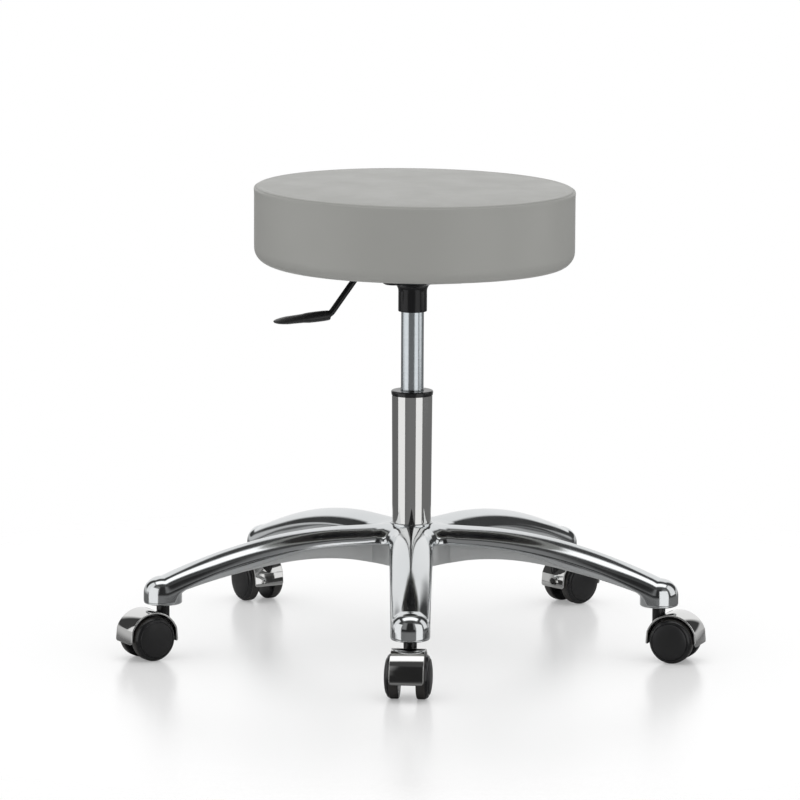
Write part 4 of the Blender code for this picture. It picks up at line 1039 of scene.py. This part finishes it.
# %% Strip of the hood, from skirt to skirt
TRAIL = 22.0 * MM
AXLE_Z = JOINTS["wheel_spin_a_front"]["pos_m"][2]
NECK_TOP = JOINTS["caster_swivel_front"]["pos_m"][2]
HOOD_RADIUS, HOOD_HALF = 33.0 * MM, 20.5 * MM
HOOD_CORNER = 3.6 * MM
CREASE_HALF = 31.0 * MM
HOOD_CREASE = math.degrees(math.acos(CREASE_HALF / HOOD_RADIUS))
HOOD_FOOT = (32.5 * MM, AXLE_Z - 5.0 * MM)
FOOT_EDGE = 0.1 * MM
hood_line = [(TRAIL + HOOD_FOOT[0], HOOD_FOOT[1])]
hood_line += arc((TRAIL, AXLE_Z), HOOD_RADIUS, HOOD_CREASE, 180.0 - HOOD_CREASE, 36)
hood_line += [(TRAIL - HOOD_FOOT[0], HOOD_FOOT[1])]
first_x, first_z = hood_line[0]
hood = begin(
    "hood_pattern", bpy.ops.mesh.primitive_plane_add, size=2.0 * HOOD_HALF,
    location=(first_x + HOOD_HALF, 0.0, first_z),
)
select_edges(hood, lambda a, b: a.x > 0.0 and b.x > 0.0)
bpy.ops.mesh.delete(type="VERT")
bpy.ops.mesh.select_all(action="SELECT")
for (x, z), (next_x, next_z) in zip(hood_line, hood_line[1:]):
    bpy.ops.mesh.extrude_edges_move(TRANSFORM_OT_translate={"value": (next_x - x, 0.0, next_z - z)})
select_edges(hood, lambda a, b: max(a.z, b.z) < FOOT_EDGE)
bpy.ops.mesh.bevel(affect="VERTICES", offset=HOOD_CORNER, segments=6)
face_out()
deselect()
if max(hood.data.polygons, key=lambda face: face.center.z).normal.z < 0.0:
    hood.data.flip_normals()
print("strip of", len(hood.data.polygons), "faces")

# %% Wall of the hood, with rolled edges and a hole for the neck
HOOD_WALL, HOOD_ROLL = 2.3 * MM, 0.8 * MM
NECK_RADIUS, DRILL_GAP = 8.0 * MM, 0.7 * MM
DRILL_DEPTH, DRILL_DROP = 40.0 * MM, 12.0 * MM
thicken(hood, HOOD_WALL)
roll_edges(hood, HOOD_ROLL, 4, 50.0)
settle(hood, 40.0)
drill = begin(
    "neck_drill", bpy.ops.mesh.primitive_cylinder_add, vertices=48, radius=NECK_RADIUS + DRILL_GAP,
    depth=DRILL_DEPTH, location=(0.0, 0.0, NECK_TOP - DRILL_DROP),
)
cut_out(hood, settle(drill))
settle(hood, 40.0)

# %% Crease lines of the hood stay sharp
CREASE_X = HOOD_RADIUS * math.cos(math.radians(HOOD_CREASE))
CREASE_Z = AXLE_Z + HOOD_RADIUS * math.sin(math.radians(HOOD_CREASE))
CREASE_REACH = 0.05 * MM


def on_crease(spot):
    """Says if a point lies on a crease line of the outer skin."""
    aside = abs(abs(spot.x - TRAIL) - CREASE_X)
    return aside < CREASE_REACH and abs(spot.z - CREASE_Z) < CREASE_REACH


bpy.ops.object.mode_set(mode="EDIT")
select_edges(hood, lambda a, b: on_crease(a) and on_crease(b))
bpy.ops.mesh.mark_sharp()
deselect()
coat_with(hood.data, chrome)
print("hood", len(hood.data.polygons), "faces")

# %% Yoke between the wheels
YOKE_RADIUS, YOKE_WIDTH = 29.8 * MM, 14.0 * MM
YOKE_CUT = AXLE_Z - 5.5 * MM
YOKE_ROLL = 1.2 * MM
yoke = begin(
    "yoke_pattern", bpy.ops.mesh.primitive_cylinder_add, vertices=64, radius=YOKE_RADIUS, depth=YOKE_WIDTH,
    location=(TRAIL, 0.0, AXLE_Z), rotation=(math.radians(90.0), 0.0, 0.0),
)
bpy.ops.mesh.select_all(action="SELECT")
bpy.ops.mesh.bisect(plane_co=(0.0, 0.0, YOKE_CUT), plane_no=(0.0, 0.0, 1.0), use_fill=True, clear_inner=True)
deselect()
roll_edges(yoke, YOKE_ROLL, 3, 40.0)
settle(yoke, 40.0)

# %% Neck on the yoke
NECK_LENGTH, NECK_BORE = 30.0 * MM, 3.0 * MM
NECK_EDGE = 0.8 * MM
STEM_BORE, STEM_DEPTH = 5.8 * MM, 22.0 * MM
neck_low, stem_low = NECK_TOP - NECK_LENGTH, NECK_TOP - STEM_DEPTH
neck_profile = [(NECK_BORE, neck_low), (NECK_RADIUS, neck_low), (NECK_RADIUS, NECK_TOP - NECK_EDGE)]
neck_profile += [(NECK_RADIUS - NECK_EDGE, NECK_TOP), (STEM_BORE, NECK_TOP), (STEM_BORE, stem_low)]
neck_profile += [(NECK_BORE, stem_low), (NECK_BORE, neck_low)]
neck = settle(turned("neck_pattern", neck_profile, (0.0, 0.0), sides=48), 40.0)
join(yoke, neck)
coat_with(yoke.data, nylon)
print("yoke", len(yoke.data.polygons), "faces")

# %% Wheel: (radius, distance outwards) in millimetres, with a dished face and a worn tread
WHEEL_RADIUS = AXLE_Z - 0.05 * MM
FACE_REACH, FACE_LOW = 21.6 * MM, 14.0 * MM
TREAD_REACH, TREAD_HIGH = 26.4 * MM, 11.0 * MM
wheel_mm = [
    (1.5, 18.2), (7.0, 18.0), (12.0, 17.6), (16.5, 16.9), (20.2, 16.0), (21.2, 15.5), (21.7, 14.9),
    (21.9, 14.3), (22.2, 14.2), (22.5, 14.5), (23.2, 14.4), (24.0, 14.0), (24.8, 13.4), (25.5, 12.6),
    (26.0, 11.8), (26.4, 10.9), (26.6, 10.4), (26.8, 10.3), (27.0, 9.9), (27.1, 9.0), (27.1, 2.2),
    (26.8, 1.0), (26.0, 0.25), (25.0, 0.0), (7.0, 0.0), (4.4, 0.0), (4.4, 12.9), (1.5, 12.9),
]
wheel_profile = [(min(radius * MM, WHEEL_RADIUS), height * MM) for radius, height in wheel_mm]
wheel = settle(turned("wheel_pattern", wheel_profile, (0.0, 0.0), sides=80), 30.0)
coat_with(wheel.data, nylon, wheel_face, tread)
for face in wheel.data.polygons:
    reach = Vector(face.center[:2]).length
    if face.center.z > FACE_LOW and reach < FACE_REACH:
        face.material_index = 1
    elif reach > TREAD_REACH and face.center.z < TREAD_HIGH:
        face.material_index = 2
print("wheel radius", round(WHEEL_RADIUS, 5))

# %% Copy the caster to its five stems
WHEEL_SPACE = 10.5 * MM
for side in SIDES:
    stem = Vector(JOINTS["caster_swivel_" + side]["pos_m"])
    across = JOINTS["wheel_spin_a_" + side]["axis"]
    heading = math.atan2(-across[0], across[1])
    spot = (stem.x, stem.y, 0.0)
    shell = copy_to(hood, "chrome_hood_" + side, spot, heading)
    stand_in(shell, "caster_" + side, "chrome", "caster_hood_" + side)
    fork = copy_to(yoke, "caster_yoke_" + side, spot, heading)
    stand_in(fork, "caster_" + side, "black_nylon", "caster_body_" + side)
    for letter, outward in (("a", 1.0), ("b", -1.0)):
        disc = copy_to(wheel, "rolling_%s_%s" % (letter, side), (0.0, 0.0, 0.0), 0.0)
        disc.rotation_euler = (math.radians(-90.0 * outward), 0.0, 0.0)
        disc.location = (TRAIL, outward * WHEEL_SPACE, AXLE_Z)
        place_in_mesh()
        disc.rotation_euler = (0.0, 0.0, heading)
        disc.location = spot
        place_in_mesh()
        wheel_name = "wheel_%s_%s" % (letter, side)
        stand_in(disc, wheel_name, "black_nylon", wheel_name)
for pattern in (hood, yoke, wheel):
    bpy.data.objects.remove(pattern)
print("casters", len(SIDES))

# %% [markdown]
# ## The tray and the lever
# A pressed steel tray joins the socket to the seat board, and a bent rod comes out of its side to a flat
# paddle. A bevelled box would do for the tray, but a pressing has one thickness all over, so it is a rounded
# plate whose edge is drawn up and out and then given the thickness of the sheet. It stands turned about the
# column, as the lever does.

# %% Tray
TRAY_LOW, TRAY_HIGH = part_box("seat_tray")
lever_axis = JOINTS["lever_lift"]["axis"]
TRAY_TURN = math.atan2(-lever_axis[0], lever_axis[1])
TRAY_OFFSET = 7.9 * MM
TRAY_SHEET, TRAY_ROLL = 2.5 * MM, 2.5 * MM
TRAY_CORNER = 12.0 * MM
FLOOR_HALF = (51.5 * MM, 42.7 * MM)
WALL_HALF = (58.5 * MM, 49.7 * MM)
PLATE_HALF = (80.0 * MM, 72.0 * MM)
wall_top = TRAY_HIGH.z - TRAY_SHEET
floor_middle, plate_middle = (TRAY_OFFSET, 0.0, TRAY_LOW.z), (TRAY_OFFSET, 0.0, wall_top)
tray = begin("pressed_tray", bpy.ops.mesh.primitive_plane_add, size=2.0, location=floor_middle)
bpy.ops.transform.resize(value=(*FLOOR_HALF, 1.0), center_override=floor_middle)
bpy.ops.mesh.bevel(affect="VERTICES", offset=TRAY_CORNER, segments=8)
bpy.ops.mesh.select_all(action="SELECT")
bpy.ops.mesh.region_to_loop()
spread = (WALL_HALF[0] / FLOOR_HALF[0], WALL_HALF[1] / FLOOR_HALF[1], 1.0)
draw_out((0.0, 0.0, wall_top - TRAY_LOW.z), spread, plate_middle)
spread = (PLATE_HALF[0] / WALL_HALF[0], PLATE_HALF[1] / WALL_HALF[1], 1.0)
draw_out((0.0, 0.0, 0.0), spread, plate_middle)
face_out()
deselect()
if min(tray.data.polygons, key=lambda face: face.center.z).normal.z > 0.0:
    tray.data.flip_normals()
roll_edges(tray, TRAY_ROLL, 4, 30.0)
thicken(tray, TRAY_SHEET)
settle(tray, 40.0)
print("tray from", round(TRAY_LOW.z, 4), "to", round(TRAY_HIGH.z, 4))

# %% Openings in the tray: the valve hole and the slot of the lever
LEVER_Z = JOINTS["lever_lift"]["pos_m"][2]
HOLE_RADIUS, HOLE_DEPTH = 16.0 * MM, 20.0 * MM
SLOT_SIZE, SLOT_SCALE = 11.0 * MM, (2.2, 1.0, 1.3)
SLOT_OUT, SLOT_UP = 4.0 * MM, 1.5 * MM
valve_hole = begin(
    "valve_hole", bpy.ops.mesh.primitive_cylinder_add, vertices=48, radius=HOLE_RADIUS, depth=HOLE_DEPTH,
    location=(0.0, 0.0, TRAY_LOW.z),
)
settle(valve_hole)
slot_middle = (TRAY_OFFSET - FLOOR_HALF[0] - SLOT_OUT, 0.0, LEVER_Z + SLOT_UP)
lever_slot = begin("lever_slot", bpy.ops.mesh.primitive_cube_add, size=SLOT_SIZE, location=slot_middle)
bpy.ops.transform.resize(value=SLOT_SCALE, center_override=slot_middle)
settle(lever_slot)
for cutter in (valve_hole, lever_slot):
    cut_out(tray, cutter)
stand_on_axis(tray, TRAY_TURN)
dress(tray, gloss_black, "seat", "black_steel", "seat_tray")

# %% Line of the lever rod: straight runs with a round bend at each corner
ROD_BEND, BEND_STEPS = 14.0 * MM, 10
ROD_START, ROD_TAIL = 8.0 * MM, 24.0 * MM
ROD_DROP, ROD_SLOPE = 48.1 * MM, math.radians(54.0)
PADDLE_SLOPE = math.radians(5.2)
KNEE = Vector((-69.4 * MM, LEVER_Z))
ANKLE = KNEE + Vector((-ROD_DROP / math.tan(ROD_SLOPE), -ROD_DROP))
ALONG = Vector((-math.cos(PADDLE_SLOPE), -math.sin(PADDLE_SLOPE)))
corners = [Vector((ROD_START, LEVER_Z)), KNEE, ANKLE, ANKLE + ALONG * ROD_TAIL]
path = [corners[0]]
for before, corner, after in zip(corners, corners[1:], corners[2:]):
    to_before, to_after = (before - corner).normalized(), (after - corner).normalized()
    half_angle = to_before.angle(to_after) / 2.0
    setback = ROD_BEND / math.tan(half_angle)
    middle = corner + (to_before + to_after).normalized() * ROD_BEND / math.sin(half_angle)
    start = corner + to_before * setback - middle
    sweep = start.angle_signed(corner + to_after * setback - middle)
    for step in range(BEND_STEPS + 1):
        path.append(middle + Matrix.Rotation(-sweep * step / BEND_STEPS, 2) @ start)
path.append(corners[-1])
print("lever line of", len(path), "points")

# %% Lever rod along that line
ROD_RADIUS = 4.0 * MM
rod_curve = bpy.data.curves.new("lever_bend", "CURVE")
rod_curve.dimensions = "3D"
rod_curve.bevel_depth = ROD_RADIUS
rod_curve.bevel_resolution = 6
rod_curve.use_fill_caps = True
spline = rod_curve.splines.new("POLY")
spline.points.add(len(path) - 1)
for point, spot in zip(spline.points, path):
    point.co = (spot.x, 0.0, spot.y, 1.0)
rod = bpy.data.objects.new("lever_bend", rod_curve)
scene.collection.objects.link(rod)
pick(rod)
bpy.ops.object.convert(target="MESH")
rod = bpy.context.object
stand_on_axis(rod, TRAY_TURN)
dress(rod, gloss_black, "lever", "black_steel", "lever_rod")

# %% Paddle: (distance, half width, half thickness) in millimetres along the end of the rod
paddle_mm = [
    (0.0, 5.8, 4.6), (0.5, 6.9, 5.5), (1.6, 7.5, 6.0), (6.0, 8.6, 6.3), (10.0, 9.5, 6.4), (18.0, 10.8, 6.4),
    (26.5, 11.8, 6.2), (30.0, 12.0, 5.8), (34.6, 12.0, 5.2), (44.0, 12.3, 4.9), (54.0, 12.4, 4.6),
    (60.0, 11.6, 3.9), (65.0, 10.0, 3.0), (68.2, 7.8, 2.0), (69.7, 5.5, 1.3),
]
_, half_across, half_thick = paddle_mm[0]
paddle = begin("lever_grip", bpy.ops.mesh.primitive_circle_add, vertices=32, radius=half_across * MM)
bpy.ops.transform.resize(value=(1.0, half_thick / half_across, 1.0), center_override=(0.0, 0.0, 0.0))
for (distance, across, thick), (next_distance, next_across, next_thick) in zip(paddle_mm, paddle_mm[1:]):
    rise = (0.0, 0.0, (next_distance - distance) * MM)
    scale = (next_across / across, next_thick / thick, 1.0)
    draw_out(rise, scale, (0.0, 0.0, next_distance * MM))
close_up()
deselect()
upward = Vector((ALONG.y, -ALONG.x))
lay = Matrix(((0.0, upward.x, ALONG.x), (-1.0, 0.0, 0.0), (0.0, upward.y, ALONG.y))).to_4x4()
turn = Matrix.Translation((AXIS.x, AXIS.y, 0.0)) @ Matrix.Rotation(TRAY_TURN, 4, "Z")
paddle.matrix_world = turn @ Matrix.Translation((ANKLE.x, 0.0, ANKLE.y)) @ lay
settle(paddle, 45.0)
dress(paddle, moulded, "lever", "black_plastic", "lever_paddle")

# %% [markdown]
# ## The cushion
# A round foam pad under a sewn vinyl cover: a top panel, a boxing strip round the side and a hem stapled
# under the board. It is laid out as rings, with the dip of the rim seam among them, and then blown up by a
# cloth simulation that is held at the hem and the seam, so that the cover swells between them as a stuffed
# one does. A remeshed block would swell too, but rings keep the rim clean.

# %% Sizes of the cushion, and its rim as (outwards, up) in millimetres
SEAT_LOW, SEAT_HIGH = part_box("seat_cover")
SEAT_RADIUS = (SEAT_HIGH.x - SEAT_LOW.x) / 2.0
BOARD_LOW, BOARD_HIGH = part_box("seat_board")
BOARD_RADIUS = (BOARD_HIGH.x - BOARD_LOW.x) / 2.0
CROWN_RISE, RIM_LIFT = 3.5 * MM, 0.6 * MM
FOOT_ROUND, FOOT_STEPS = 19.0 * MM, 10
SIDE_SLACK, SIDE_STEPS = 0.3 * MM, 8
TOP_STEPS = 18
INNER_RADIUS = 50.0 * MM
HEM, HEM_SHEET = BOARD_RADIUS - 20.0 * MM, 0.5 * MM
HEM_ROWS = (0.3, 0.6, 0.9)
EDGE_GAP, TOP_GAP, FOOT_GAP = 0.8 * MM, 0.6 * MM, 0.3 * MM
CUSHION_SIDES = 144
rim_mm = [
    (0.0, -9.0), (0.3, -6.0), (0.4, -4.6), (0.3, -3.6), (0.0, -2.8), (-0.6, -2.2), (-1.2, -2.1), (-1.7, -2.6),
    (-2.0, -2.6), (-2.3, -1.9), (-2.8, -1.1), (-3.6, -0.5), (-4.8, -0.15), (-6.5, 0.0), (-8.4, -0.15),
    (-9.6, -0.4), (-10.8, -0.35), (-12.5, 0.0),
]
print("cushion of radius", round(SEAT_RADIUS, 4), "on a board of radius", round(BOARD_RADIUS, 4))

# %% Rings of the cushion, from the hollow over the board round to the middle of the top
side_radius = SEAT_RADIUS - SIDE_SLACK
hem_low = BOARD_LOW.z - HEM_SHEET
rim_z = SEAT_HIGH.z - CROWN_RISE + RIM_LIFT
board_edge = BOARD_RADIUS + EDGE_GAP
board_top, board_foot = BOARD_HIGH.z + TOP_GAP, BOARD_LOW.z - FOOT_GAP
cushion_profile = [(INNER_RADIUS, board_top), (board_edge, board_top), (board_edge, board_foot)]
cushion_profile += [(HEM, board_foot), (HEM, hem_low)]
cushion_profile += [(HEM + (side_radius - FOOT_ROUND - HEM) * part, hem_low) for part in HEM_ROWS]
foot_start = len(cushion_profile)
cushion_profile += arc((side_radius - FOOT_ROUND, hem_low + FOOT_ROUND), FOOT_ROUND, -90.0, 0.0, FOOT_STEPS)
side_low, side_high = hem_low + FOOT_ROUND, rim_z + rim_mm[0][1] * MM
for part in range(1, SIDE_STEPS):
    cushion_profile.append((side_radius, side_low + (side_high - side_low) * part / SIDE_STEPS))
rim_start = len(cushion_profile)
cushion_profile += [(side_radius + outward * MM, rim_z + rise * MM) for outward, rise in rim_mm]
rim_end = len(cushion_profile)
top_edge = cushion_profile[-1][0]
for part in range(1, TOP_STEPS + 1):
    cushion_profile.append((top_edge + (INNER_RADIUS - top_edge) * part / TOP_STEPS, rim_z))
ring_count = len(cushion_profile)
print("cushion of", ring_count, "rings, rim from", rim_start, "to", rim_end)

# %% Draw the rings and close both ends with a grid
first_radius, first_height = cushion_profile[0]
cushion = begin(
    "cushion", bpy.ops.mesh.primitive_circle_add, vertices=CUSHION_SIDES, radius=first_radius,
    location=(AXIS.x, AXIS.y, first_height),
)
stack_rings(cushion_profile, AXIS)
bpy.ops.mesh.fill_grid(span=CUSHION_SIDES // 4)
bpy.ops.mesh.select_mode(type="EDGE")
bpy.ops.mesh.select_non_manifold(extend=False)
bpy.ops.mesh.fill_grid(span=CUSHION_SIDES // 4)
face_out()
settle(cushion, 180.0)
rest = [vertex.co.copy() for vertex in cushion.data.vertices]

# %% What is held while the cover swells: the hem, the rim seam and the hollow over the board
HOLLOW_HIGH = BOARD_HIGH.z + 2.0 * MM
held = cushion.vertex_groups.new(name="held")
for ring in list(range(foot_start)) + list(range(rim_start, rim_end)):
    held.add(list(range(ring * CUSHION_SIDES, (ring + 1) * CUSHION_SIDES)), 1.0, "REPLACE")
cavity = [number for number in range(ring_count * CUSHION_SIDES, len(rest)) if rest[number].z < HOLLOW_HIGH]
held.add(cavity, 1.0, "REPLACE")
print("held", foot_start + rim_end - rim_start, "rings and", len(cavity), "points")

# %% Blow the cover up
PRESSURE = 4.0
STIFFNESS, BENDING = 25.0, 4.0
FRAMES = 20
SWELL_LIMIT = 5.0 * MM
pick(cushion)
bpy.ops.object.modifier_add(type="CLOTH")
cloth = cushion.modifiers[0]
cloth.settings.quality = 5
cloth.settings.tension_stiffness = STIFFNESS
cloth.settings.compression_stiffness = STIFFNESS
cloth.settings.bending_stiffness = BENDING
cloth.settings.use_pressure = True
cloth.settings.uniform_pressure_force = PRESSURE
cloth.settings.vertex_group_mass = "held"
cloth.settings.effector_weights.gravity = 0.0
for number in range(1, FRAMES + 1):
    scene.frame_set(number)
blown = cushion.evaluated_get(bpy.context.evaluated_depsgraph_get())
swollen = [vertex.co.copy() for vertex in blown.data.vertices]
cushion.modifiers.remove(cloth)
scene.frame_set(1)
for vertex, before, after in zip(cushion.data.vertices, rest, swollen):
    move = after - before
    vertex.co = before + move * (SWELL_LIMIT / (SWELL_LIMIT + move.length))
most = max((after - before).length for before, after in zip(rest, swollen))
print("swelled by up to", round(most, 4), "before the limit")

# %% A pad never sits quite square: it leans a little over its board
LEAN, SHIFT = 0.0105, 2.0 * MM
LOOSE_HEIGHT, LOOSE_REACH, LOOSE_START = 50.0 * MM, 18.0 * MM, 1.0 * MM
for vertex in cushion.data.vertices:
    reach = (vertex.co.xy - AXIS.xy).length
    loose = eased((vertex.co.z - BOARD_HIGH.z - LOOSE_START) / LOOSE_HEIGHT)
    loose = max(loose, eased((reach - BOARD_RADIUS - LOOSE_START) / LOOSE_REACH))
    vertex.co.z -= LEAN * (vertex.co.x - AXIS.x) * loose
    vertex.co.x += SHIFT * loose
apply_modifier(cushion, "SUBSURF", levels=1, render_levels=1)
settle(cushion, 180.0)
dress(cushion, vinyl, "seat", "vinyl", "seat_cover", "seat_foam")
print("cushion", [round(value, 4) for value in cushion.dimensions])
